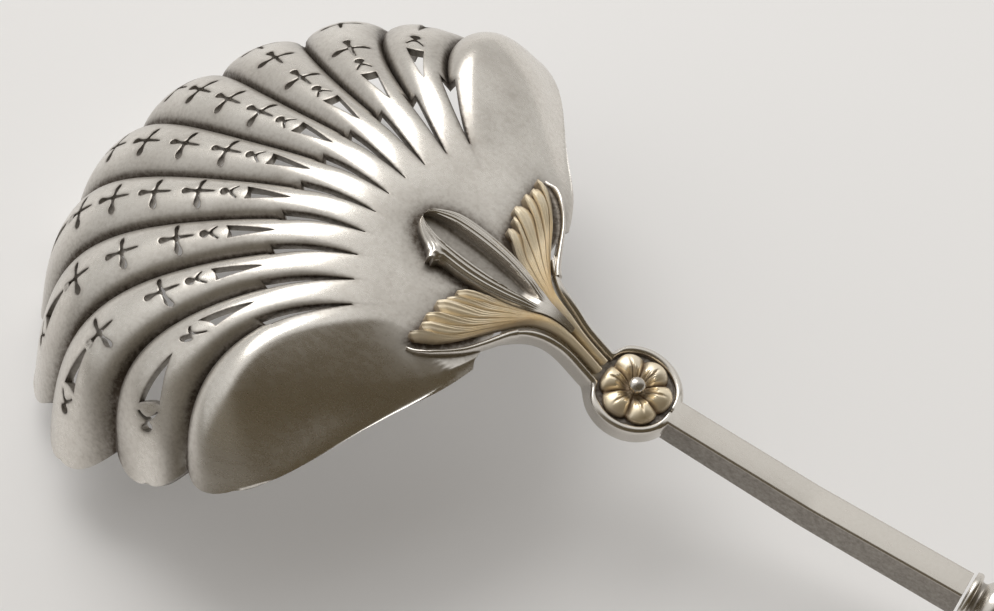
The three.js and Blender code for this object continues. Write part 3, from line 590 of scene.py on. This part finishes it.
# the pierced bowl
piercing = {
    "slotLength": 8.6, "slotWidth": 1.05, "dartAt": 11.2, "dartLength": 5.2, "dartHalf": 0.78,
    "dartHollow": 0.25, "trefoilAt": 15.2, "firstCross": 19.4, "crossPitch": 5.6, "crossClear": 4.6,
    "crossGrowth": 1.12, "outerDart": 12.3, "outerDartSize": 1.12, "outerTrefoil": 8.1,
    "outerTrefoilSize": 1.15, "sideEarly": 1.2, "lobeTurn": 0.19, "across": 6.0, "clear": (0.0, 0.2, 0.42),
    "rings": [(0.0, -0.04, 0.60), (0.07, -0.012, 0.42), (0.18, 0.0, 0.16)],  # distance out, lift, tarnish and painted shade at the hole's edge
    "arms": [(0, 2.05, 0.15, 0.37, 0.84), (90, 1.9, 0.17, 0.27, 0.66),
             (180, 1.95, 0.18, 0.17, 0.35), (270, 1.95, 0.18, 0.42, 0.76)],  # turn, reach, thin, wide, where
    "stroke": [[0.50, 0.12], [0.26, 0.40], [-0.08, 0.66], [-0.36, 0.80], [-0.46, 0.68], [-0.20, 0.50],
               [0.02, 0.28], [0.12, 0.10]],
}
# bowl darkening: tarnish, plus painted shade on groove flanks, rim end, underside and lower edge
stainsAndShade = {
    "groove": [(0.12, 0.7), (0.50, 0.36)], "halo": [(0.9, 0.8), (2.6, 0.32)],  # width, strength
    "bandFall": 2.0, "grooveSpan": (12, 20), "rimShadeGain": 1.5, "rimShadeSpan": (0.7, 1.0),
    "inside": 0.15, "insideShare": 0.5, "shadedLowerEdge": 0.6,
}


def armOutline(reach, thin, wide, widest):  # a thin stroke that swells to its widest place and rounds off
    t = np.array([0.25, 0.45, 0.6, 0.7, 0.8, 0.88, 0.94, 0.98, 1.0])
    swell = mix(thin, wide, ease(t, 0.3, widest))
    half = swell * np.sqrt(np.maximum(0, 1 - np.maximum(0, (t - widest) / (1 - widest)) ** 2))
    edge = np.stack([reach * t, half], -1)
    return np.vstack([edge * [1, -1], edge[-2::-1]])


def crossOutline():  # four thin arms: a bulb outwards, a teardrop on the near side, slim leaves elsewhere
    rows = []
    for turn, reach, thin, wide, widest in piercing["arms"]:
        t = np.radians(turn)
        spin = np.array([[np.cos(t), np.sin(t)], [-np.sin(t), np.cos(t)]])
        rows.append(np.vstack([[[0.24, -0.24]], armOutline(reach, thin, wide, widest)]) @ spin)
    return np.vstack(rows)


def dartOutline():  # long arrowhead pointing to the handle, hollow base
    t = np.linspace(0, 1, 9)[1:, None]
    half, length = piercing["dartHalf"], piercing["dartLength"]
    side = np.hstack([-length / 2 + length * t, half * t ** 0.9])
    sweep = np.linspace(-1, 1, 9)[1:-1]
    hollow = piercing["dartHollow"] * np.cos(sweep * np.pi / 2)
    base = np.stack([length / 2 - hollow, sweep * half], -1)
    return np.vstack([[[-length / 2, 0.0]], side * [1, -1], base, side[::-1]])


def trefoilOutline():  # round bulb outwards on a thin stem, two short strokes that curve back to the dart
    up = np.array(piercing["stroke"])
    return np.vstack([arc(1.15, 0, 0.46, -152, 152, 15), up, (up * [1, -1])[::-1]])


def slotOutline():  # wedge at a groove's head: a point towards the handle, a straight outer end
    t = np.linspace(0, 1, 11)[:, None]
    half, length = piercing["slotWidth"] / 2, piercing["slotLength"]
    low = np.hstack([length * t, -half * t - 0.03])
    return np.vstack([low, [[length, 0.0]], (low * [1, -1])[::-1]])


def grownOutline(outline, by):  # outline moved outwards along the mean normal of its two edges
    before, after = unit(outline - np.roll(outline, 1, 0)), unit(np.roll(outline, -1, 0) - outline)
    both = before + after
    n = np.stack([both[:, 1], -both[:, 0]], -1)
    return outline + n / np.maximum(0.35, np.linalg.norm(n, axis=1, keepdims=True)) * by


def insideOutline(points, outline):  # even-odd rule, a row of crossings for each edge
    a, b = outline, np.roll(outline, -1, 0)
    px, py = points[:, 0:1], points[:, 1:2]
    hit = (a[:, 1] > py) != (b[:, 1] > py)
    climb = np.where(b[:, 1] == a[:, 1], 1e-9, b[:, 1] - a[:, 1])
    x = a[:, 0] + (py - a[:, 1]) / climb * (b[:, 0] - a[:, 0])
    return (hit & (px < x)).sum(1) % 2 == 1


def lobeRulers():  # for each crest and groove: depth, distance from the groove's head, width of a lobe
    depth = np.linspace(0.0005, 1, 500)
    rulers = {}
    for lobe in np.arange(-lastGroove, lastGroove + 0.25, 0.5):
        line = bowlSkin(np.full_like(depth, lobe), depth)
        run = np.concatenate([[0], np.cumsum(np.linalg.norm(np.diff(line, axis=0), axis=1))])
        share = outShare(depth)
        r = share * rimRadius(fanAngle(np.full_like(depth, lobe), depth))
        run -= np.interp(grooveFrom(lobe * piercing["lobeTurn"]), r, run)
        rulers[lobe] = (depth, run, r * lobePitch(share))
    return rulers


def pierceList(rulers):  # (lobe, distance, outline, size) of every hole, from the length of each lobe
    holes = []
    for lobe, (_, run, _) in rulers.items():
        if lobe != round(lobe):
            holes.append((lobe, 0.0, slotOutline(), 1.0))
            continue
        early, end = piercing["sideEarly"] * (abs(lobe) / bowl["lobePairs"]) ** 2, run[-1]
        holes.append((lobe, piercing["dartAt"] + early, dartOutline(), 1.0))
        holes.append((lobe, piercing["trefoilAt"] + early, trefoilOutline(), 1.0))
        holes.append((lobe, end - piercing["outerDart"], dartOutline(), piercing["outerDartSize"]))
        holes.append((lobe, end - piercing["outerTrefoil"], trefoilOutline(), piercing["outerTrefoilSize"]))
        first, last = piercing["firstCross"] + early, end - piercing["outerDart"] - piercing["crossClear"]
        count = int(round((last - first) / piercing["crossPitch"])) + 1
        if last < first - 1:
            continue  # the last lobes are too short for a cross
        for k, at in enumerate(np.linspace(first, last, count) if count > 1 else [(first + last) / 2]):
            holes.append((lobe, at, crossOutline(), mix(1.0, piercing["crossGrowth"], k / 4)))
    return holes


def toSheet(local, lobe, at, rulers):  # outline on a lobe, to the flat sheet of (lobe, distance)
    depth, run, width = rulers[lobe]
    w = np.interp(at + local[:, 0], run, depth)
    number = lobe + local[:, 1] / np.interp(w, depth, width)
    return np.stack([number * piercing["across"], np.interp(w, rulers[0.0][0], rulers[0.0][1])], -1)


def sheetGrid(run):  # columns by lobe number, rows by distance along the middle lobe, finer past the seat
    per, plain = bowl["columns"], bowl["plainColumns"]
    inner = np.arange(-lastGroove * per, lastGroove * per + 0.5) / per
    outer = lastGroove + np.arange(1, plain + 1) / plain
    cols = np.concatenate([-outer[::-1], inner, outer])
    rows = np.concatenate([np.linspace(run[0], -2, 18)[:-1], np.linspace(-2, run[-1], bowl["rows"])])
    x, y = np.meshgrid(cols * piercing["across"], rows, indexing="ij")
    return np.stack([x.ravel(), y.ravel()], -1)


def cutSheet(rulers):  # sheet triangulated with rings round each hole; triangles inside a hole are left out
    grid = sheetGrid(rulers[0.0][1])
    keep = np.ones(len(grid), bool)
    loops, marks, edges = [], [], []
    for number, (lobe, at, outline, size) in enumerate(pierceList(rulers)):
        for away in piercing["clear"]:
            near = toSheet(grownOutline(outline * size, away), lobe, at, rulers)
            box = (np.abs(grid - near.mean(0)) < np.ptp(near, axis=0) * 0.8 + 0.3).all(1)
            keep[np.flatnonzero(box)[insideOutline(grid[box], near)]] = False
        for away, lift, stainAndShade in piercing["rings"]:
            loops.append(toSheet(grownOutline(outline * size, away), lobe, at, rulers))
            marks.append(np.tile([lift, stainAndShade, number if away == 0 else -1], (len(outline), 1)))
    base = int(keep.sum())
    marks = np.vstack([np.tile([0.0, 0.0, -1.0], (base, 1))] + marks)
    for loop in loops:
        ids = np.arange(len(loop)) + base
        edges += np.stack([ids, np.roll(ids, -1)], -1).tolist()
        base += len(loop)
    flat = np.vstack([grid[keep]] + loops).tolist()
    out = delaunay_2d_cdt([Vector(p) for p in flat], edges, [], 0, 1e-6)
    pos, tri = np.array([tuple(v) for v in out[0]]), np.array(out[2])
    first = np.array([made[0] if made else -1 for made in out[3]])  # -1 where two rings cross
    lift, stainAndShade, owner = np.where((first >= 0)[:, None], marks[first], [0.0, 0.0, -1.0]).T
    owners, drop = owner[tri], np.zeros(len(tri), bool)
    same = (owners == owners[:, :1]).all(1) & (owners[:, 0] >= 0)
    for number in np.unique(owners[same, 0]):
        picked = np.flatnonzero(same & (owners[:, 0] == number))
        edge = loops[len(piercing["rings"]) * int(number)]
        drop[picked] = insideOutline(pos[tri[picked]].mean(1), edge)
    return pos, tri[~drop], lift, stainAndShade


def bowlShell():  # cut sheet laid on the back, another a wall under it, joined at rim and holes
    rulers = lobeRulers()
    pos, tri, lift, stainAndShade = cutSheet(rulers)
    a, b = np.moveaxis(pos[tri[:, 1:]] - pos[tri[:, :1]], 1, 0)
    turned = a[:, 0] * b[:, 1] < a[:, 1] * b[:, 0]
    tri = np.where(turned[:, None], tri[:, ::-1], tri)
    used, tri = np.unique(tri, return_inverse=True)
    tri, n = tri.reshape(-1, 3), len(used)
    lobe, depth = pos[used, 0] / piercing["across"], np.interp(pos[used, 1], rulers[0.0][1], rulers[0.0][0])
    top, under = bowlSkin(lobe, depth, lift[used]), bowlSkin(lobe, depth, np.full(n, -bowl["wall"]))
    sides = np.concatenate([tri[:, [0, 1]], tri[:, [1, 2]], tri[:, [2, 0]]])
    key = sides.min(1) * n + sides.max(1)
    _, where, times = np.unique(key, return_index=True, return_counts=True)
    rim = sides[where[times == 1]]  # sides that only one triangle has
    wall = np.stack([rim[:, 1], rim[:, 0], rim[:, 0] + n, rim[:, 1] + n], -1)
    faces = tri.tolist() + (tri[:, ::-1] + n).tolist() + wall.tolist()
    dark = bowlPatinaAndShade(top, lobe, depth, stainAndShade[used])
    # underside: painted shade, half the top's darkening, and painted shade on the lobes' lower edge
    inside = dark * stainsAndShade["insideShare"] + stainsAndShade["inside"] + stainsAndShade["shadedLowerEdge"] * (depth > 0.999)
    points, patinaAndShade = np.vstack([top, under]), np.append(dark, inside)
    meshPiece("bowlShell", "bowl", bowlSilver, points, faces, patinaAndShade, 48)
    print("bowl:", 2 * n, "points")


def bowlPatinaAndShade(points, lobe, depth, holeStainAndShade):  # tarnish and painted shade: grooves, their flanks, rim end, hole edges, palmette
    theta, share = fanAngle(lobe, depth), outShare(depth)
    offset = lobeOffset(theta, share, stainsAndShade["bandFall"])
    # narrow groove line of tarnish; the wide one is painted shade over the flanks, raised by painted shade
    # towards the rim
    groove = sum(bell(offset, 1, width) * strength for width, strength in stainsAndShade["groove"])
    groove = groove * ease(share * rimRadius(theta), *stainsAndShade["grooveSpan"])
    groove = groove * mix(1.0, stainsAndShade["rimShadeGain"], ease(share, *stainsAndShade["rimShadeSpan"]))
    u = np.linspace(0, 1, 60)
    ends = mix(leafIn(np.ones(1)), leafOut(np.ones(1)), u[:, None])
    line = np.vstack([leafIn(u)[30:], ends, leafOut(u)[40:], budLine(u)])
    line = np.vstack([line, line * [1, -1]])
    marks = laid(line[:, 0], line[:, 1], 0.0)[::2]
    gap = np.sqrt(((points[:, None, :] - marks[None]) ** 2).sum(-1).min(1))
    halo = sum(bell(gap, 0, width) * strength for width, strength in stainsAndShade["halo"])
    return np.clip(groove + halo + holeStainAndShade, 0, 1)


bowlShell()


# palmette: two fluted leaves, a hollow bud between them, and a ridge outside each leaf
def layPiece(name, node, finish, spot, lift, sunk, dark, under, side=1):  # sheet on the seat
    top, base = laid(spot[0], side * spot[1], lift), laid(spot[0], side * spot[1], sunk)
    points, faces = slabMesh(top[:, ::side], base[:, ::side])
    patinaAndShade = np.append(dark[:, ::side], np.full(dark.shape, under))
    meshPiece(name, node, finish, points, faces, patinaAndShade, 60)


def leafSheet(side, name, node):  # sheet between two lines: low crown, flutes, fine lines, ragged tips
    u, v = uvGrid(*palmette["leafGrid"])
    fingers, spread = palmette["fingers"], ease(u, 0.30, 0.72)
    edge = mix(leafIn(u), leafOut(u), v[..., None])
    bent = v + 0.03 * np.sin(2 * np.pi * v) * spread
    crest = np.abs(np.sin(np.pi * bent * fingers))  # 1 on a finger's crest, 0 in the crease
    crease = bell(crest, 0, 0.20) * spread
    fine = np.cos(2 * np.pi * bent * fingers * palmette["fineLines"] + 6 * u) * ease(u, 0.2, 0.5)
    tips = np.interp(v * fingers, np.arange(fingers + 1), palmette["ragged"])
    reach = ease(u, 0.72, 1.0) * (tips + 1.1 * (crest ** 0.7 - 0.5))
    crown = np.sin(np.pi * mix(0.10, 0.92, v)) ** 0.5
    curl = ease(u, 0.72, 0.94) * (0.25 + 0.55 * crest) * mix(1.0, 0.45, ease(u, 0.95, 1.0))
    body = palmette["leafRise"] * crown * mix(1.05, 1.0 - 0.35 * crease, spread)
    lift = 0.10 + body + 0.045 * fine + curl
    dark = 0.50 * crease * ease(u, 0.35, 0.6) + 0.12 * (1 - crown)
    dark = dark + 0.04 * (0.5 - 0.5 * fine) * spread + 0.5 * ease(u, 0.98, 1.0)
    spot = (edge[..., 0] - reach, edge[..., 1])
    layPiece(name, node, leafGilt, spot, lift, palmette["sunk"], dark, 0.9, side)


def borderRidge(side, name, node):  # half-round ridge carried along the border line
    u, v = uvGrid(*palmette["ridgeGrid"])
    ahead = unit(borderLine(np.minimum(1, u + 0.01)) - borderLine(np.maximum(0, u - 0.01)))
    off = 0.5 * neck["borderWidth"] * mix(1.15, 0.5, u) * v
    spot = (borderLine(u)[..., 0] + ahead[..., 1] * off, borderLine(u)[..., 1] - ahead[..., 0] * off)
    lift = (neck["borderRise"] + 0.25) * np.sqrt(np.maximum(0.0, 1 - v ** 2)) * mix(1, 0.35, ease(u, 0.8, 1))
    layPiece(name, node, handleSilver, spot, lift, palmette["ridgeSunk"], 0.05 + 0 * u, 0.05, side)


def budSheet():  # two broad lined sepals round a sunk hollow, a small ragged leaf tip on the near side
    u, v = uvGrid(*palmette["budGrid"])
    across, line = np.abs(v), budLine(u)
    tipLeaf = bell(line[..., 0], palmette["tipLeafAt"], 0.75) * (v < 0) * ease(across, 0.55, 1.0)
    half = line[..., 1] + 0.9 * tipLeaf * (1 + 0.25 * np.sin(line[..., 0] * 9))
    rimAt = mix(0.30, 0.46, ease(u, 0.1, 0.45))
    ends = ease(u, 0.18, 0.32) * ease(1 - u, 0.015, 0.09)
    out = np.clip((across - rimAt) / (1.0 - rimAt), 0, 1)
    sepal = mix(1.0, 0.62, out ** 2) + 0.06 * np.sin(np.pi * out)
    hollow = 0.08 + 0.92 * np.clip(across / rimAt, 0, 1) ** 6
    body = np.where(across > rimAt, sepal, hollow)
    lines = 0.035 * np.cos(out * 21 + 2 * np.sin(u * 9)) * (out > 0.05)
    lift = 0.05 + palmette["budRise"] * (mix(0.70, body, ends) + lines * ends) + 0.5 * tipLeaf
    lift = lift * mix(0.35, 1, ease(1 - u, 0.0, 0.035))
    sunk = 1 - ease(across, rimAt * 0.72, rimAt * 0.98)
    dark = sunk * mix(0.50, 0.85, ease(across, 0.1, 0.4)) * ends
    dark = dark + ease(across, 0.93, 1.0) * 0.5 + ease(-lines, 0.010, 0.035) * 0.18
    spot = (line[..., 0], v * half)
    layPiece("palmetteBud", "bud", handleSilver, spot, lift, palmette["sunk"], dark, 0.9)


for side, word in ((1, "far"), (-1, "near")):
    leafSheet(side, "leaf" + word.capitalize(), "leaf_" + word)
    borderRidge(side, "wingRidge" + word.capitalize(), "wing_border_" + word)
budSheet()
print("palmette laid")


# neck plate with its raised edge, disc and bar
def plateHalf(s, inset):  # half-width: flared root and throat, or round disc where larger, corner soft
    flare = np.maximum(0, 1 - s / neck["flareLength"]) ** neck["flarePower"]
    throat = mix(neck["halfWidth"], neck["rootHalfWidth"], flare) - inset
    disc = np.sqrt(np.maximum(0, (neck["discRadius"] - inset) ** 2 - (s - neck["discCentre"]) ** 2))
    soft = neck["cornerSoft"]
    larger = np.log(np.exp(soft * throat) + np.exp(soft * disc)) / soft
    return np.where(s < neck["discCentre"], larger, disc)


def plateMesh():  # half profile over the raised edge to the underside, mirrored, carried along the spine
    centre, radius, seat, rise = neck["discCentre"], neck["discRadius"], neck["seat"], neck["borderRise"]
    turn = np.linspace(np.arccos((centre - neck["discFrom"]) / radius), np.pi - 0.02, 70)[1:]
    s = np.concatenate([np.linspace(neck["root"], neck["discFrom"], 60), centre - radius * np.cos(turn)])
    outer, inner = plateHalf(s, 0.0), plateHalf(s, neck["borderWidth"])
    fieldOpen = inner > 0.05  # past the field's end the two raised edges meet
    rows = [(inner * share * 0.985, np.where(fieldOpen, seat, plateTop)) for share in np.linspace(0, 1, 9)]
    for a in np.radians(np.linspace(170, 0, 13)):
        h = np.sin(a) ** 0.55
        inwards = np.where(fieldOpen, seat + rise * h, plateTop - rise * 0.5 * (1 - h))
        outwards = seat - 0.05 + (rise + 0.05) * h + 0 * s
        rows.append((mix(inner, outer, 0.5 + 0.5 * np.cos(a)), inwards if np.cos(a) < 0 else outwards))
    low, bend = plateTop - neck["thickness"], neck["edgeRound"]
    for share in np.linspace(0.15, 1, 6):
        rows.append((outer * mix(1.0, 0.99, share), mix(seat - 0.05, low + bend, share) + 0 * s))
    for a in np.radians(np.linspace(20, 90, 5)):
        rows.append((outer - bend * (1 - np.cos(a)), low + bend - bend * np.sin(a) + 0 * s))
    rows += [(outer * 0.5, low + 0 * s), (outer * 0.0, low + 0 * s)]
    q, k = np.moveaxis(np.array(rows), 0, -1)
    q, k = np.concatenate([q, -q[:, -2:0:-1]], 1), np.concatenate([k, k[:, -2:0:-1]], 1)
    field = np.maximum(0.05, inner)[:, None]
    # field tarnish, darker towards the raised edge, and painted shade inside the disc round the rosette
    dark = mix(0.12 + 0.4 * ease(np.abs(q), field * 0.7, field), 0.85, ease(s, 8.5, 10.5)[:, None])
    return alongSpine(s[:, None], q, k), dark * (np.abs(k - seat) < 0.02)


def roundedOblong(halfW, halfH, r):  # section of a bar with round corners, anticlockwise from the right
    x, y = halfW - r, halfH - r
    corners = [(x, y, 0), (-x, y, 90), (-x, -y, 180), (x, -y, 270)]
    return np.vstack([arc(cx, cy, r, a, a + 90, 6) for cx, cy, a in corners])


def barMesh():  # oblong section along the spine, flush with the plate's top and deeper towards the knop
    t = np.linspace(0, 1, 60)[:, None]
    s = mix(neck["discCentre"] + neck["discRadius"] - neck["barSink"], neck["barEnd"], t)
    q, h = roundedOblong(0.5 * neck["barWidth"], 1.0, neck["barRound"]).T
    low = plateTop - mix(neck["barNear"], neck["barFar"], t)
    k = np.where(h > 0, plateTop + np.minimum(0, h - 1.0), low + np.maximum(0, h + 1.0))
    # side faces of the bar darkened: painted shade
    shadedFlank = ease(np.abs(q), 0.49 * neck["barWidth"], 0.5 * neck["barWidth"]) * (np.abs(h) < 0.9)
    return alongSpine(s, q, k), 0.05 + 0.6 * shadedFlank + 0 * k


def neckAndShank():  # plate and bar in one piece
    (plate, plateDark), (bar, barDark) = plateMesh(), barMesh()
    faces = tubeFaces(*plateDark.shape) + tubeFaces(*barDark.shape, plateDark.size)
    points = np.vstack([plate.reshape(-1, 3), bar.reshape(-1, 3)])
    dark = np.append(plateDark, barDark)
    meshPiece("neckAndShank", "neck_shank", handleSilver, points, faces, dark, 45)


neckAndShank()
print("neck and bar done")


# rosette and the bead of its pin
rosette = {"petals": 6, "radius": 3.9, "rise": 1.25, "level": 1.95, "turn": 12.0, "thin": 0.05, "rings": 46}
pin = [[0.0, 0.72], [0.0, 0.72], [0.55, 0.72], [0.75, 0.74], [0.85, 0.82], [1.1, 0.88], [1.4, 0.84],
       [1.62, 0.66], [1.76, 0.42], [1.84, 0.18], [1.86, 0.0]]  # height, radius


def rosetteMesh():  # polar sheet: rounded petals, a crease between them and a lighter one down each middle
    r, a = np.meshgrid(np.linspace(0, 1, rosette["rings"]), turns(216), indexing="ij")
    petal = 0.5 + 0.5 * np.cos(rosette["petals"] * (a - np.radians(rosette["turn"])))  # 1 mid-petal
    out = rosette["radius"] * (0.84 + 0.16 * petal ** 0.4) * r
    dome = ease(r, 0.20, 0.60) * np.sqrt(1 - np.maximum(0, (r - 0.62) / 0.40) ** 2)
    gap = np.exp(-petal / 0.06) * ease(r, 0.15, 0.35)
    vein = np.exp(-(1 - petal) / 0.014) * bell(r, 0.52, 0.20)
    h = rosette["rise"] * (0.12 + 0.88 * dome * mix(0.45, 1.0, petal ** 0.4) * (1 - 0.6 * gap)) - 0.32 * vein
    h = h + 0.10 * np.cos(10 * np.pi * petal) * bell(r, 0.45, 0.14) * (1 - gap)
    s, q = neck["discCentre"] + out * np.cos(a), out * np.sin(a)
    top, base = alongSpine(s, q, rosette["level"] + h), alongSpine(s, q, rosette["level"] - rosette["thin"])
    rows, cols = r.shape
    n = rows * cols
    quads = gridFaces(rows, cols, True)
    last = np.arange(n - cols, n)
    nxt = np.roll(last, -1)
    faces = np.vstack([quads, quads[:, ::-1] + n, np.stack([last, last + n, nxt + n, nxt], -1)]).tolist()
    dark = 0.9 * gap + 0.75 * vein + 0.45 * ease(r, 0.93, 1.0) + 0.75 * (1 - ease(r, 0.25, 0.52))
    points = np.concatenate([top.reshape(-1, 3), base.reshape(-1, 3)])
    meshPiece("rosette", "rosette", rosetteGilt, points, faces, np.append(dark, np.full(n, 0.9)), 60)


def spunProfile(marks):  # smooth profile through (place, radius) marks, with the angles to spin it by
    at, radius = splineThrough(marks)(np.linspace(0, 1, 12 * len(marks))).T[..., None]
    return at, np.maximum(0.001, radius), turns(72)


def pinMesh():  # profile spun about the upright through the disc's middle
    at, radius, a = spunProfile(pin)
    points = alongSpine(neck["discCentre"] + radius * np.cos(a), radius * np.sin(a), rosette["level"] + at)
    dark = 0.35 - 0.3 * radius + 0 * a
    meshPiece("rosettePin", "rosette_pin", handleSilver, points, tubeFaces(*dark.shape), dark, 50)


rosetteMesh()
pinMesh()


# the rest of the handle: turned knop, plain grip, flat rounded end
knop = {
    "length": 6.4, "gap": 0.3,
    "marks": [[0, 0.2], [0, 2.45], [0.03, 2.72], [0.075, 2.78], [0.115, 2.6], [0.14, 2.15], [0.2, 2.08],
              [0.26, 2.45], [0.36, 3.05], [0.5, 3.3], [0.64, 3.05], [0.74, 2.45], [0.8, 2.08], [0.86, 2.15],
              [0.885, 2.6], [0.925, 2.78], [0.97, 2.72], [1, 2.45], [1, 0.2]],  # share of the length, radius
}
handle = {
    "gripLength": 32.0, "gripEndWidth": 4.4, "gripEndDepth": 2.5,
    "endLength": 15.0, "endWidth": 10.5, "endDepth": 2.3, "round": 0.3,
}


def knopMesh():  # profile spun about the spine
    at, radius, a = spunProfile(np.array(knop["marks"]) * [knop["length"], 1])
    s = neck["barEnd"] + knop["gap"] + at
    points = alongSpine(s, radius * np.cos(a), axisLevel + radius * np.sin(a))
    dark = ease(2.3 - radius, 0, 0.3) * 0.5 + 0 * a
    meshPiece("knop", "knop", handleSilver, points, tubeFaces(*dark.shape), dark, 50)


def oblong(name, node, s, width, deep):  # rounded oblong section carried along the spine
    unitX, unitY = roundedOblong(1.0, 1.0, 0.5).T
    inX, inY = 2 - 2 * np.abs(unitX), 2 - 2 * np.abs(unitY)  # 0 on a flat side, 1 where its corner ends
    corner = np.minimum(handle["round"], 0.45 * width)[:, None]
    q = np.sign(unitX) * (width[:, None] / 2 - corner * inX)
    k = axisLevel + np.sign(unitY) * (deep[:, None] / 2 - handle["round"] * inY)
    points = alongSpine(s[:, None], q, k)
    meshPiece(name, node, handleSilver, points, tubeFaces(*q.shape), np.full(q.shape, 0.06), 45)


def handleEnd():  # the grip widens and thins; the end swells and closes in a half round
    gripFrom = neck["barEnd"] + 2 * knop["gap"] + knop["length"]
    endFrom = gripFrom + handle["gripLength"] + knop["gap"]
    t = np.linspace(0, 1, 50)
    width = mix(neck["barWidth"], handle["gripEndWidth"], t ** 2)
    deep = mix(neck["barFar"], handle["gripEndDepth"], t)
    oblong("grip", "grip", gripFrom + handle["gripLength"] * t, width, deep)
    t = 1 - (1 - np.linspace(0, 1, 70)) ** 1.6
    swell = mix(handle["gripEndWidth"], handle["endWidth"], ease(t, 0, 0.75))
    width = swell * np.sqrt(np.maximum(0.004, 1 - np.maximum(0, (t - 0.62) / 0.38) ** 2))
    deep = mix(handle["gripEndDepth"], handle["endDepth"], t)
    oblong("handleTip", "terminal", endFrom + handle["endLength"] * t, width, deep)


knopMesh()
handleEnd()
print("handle done")
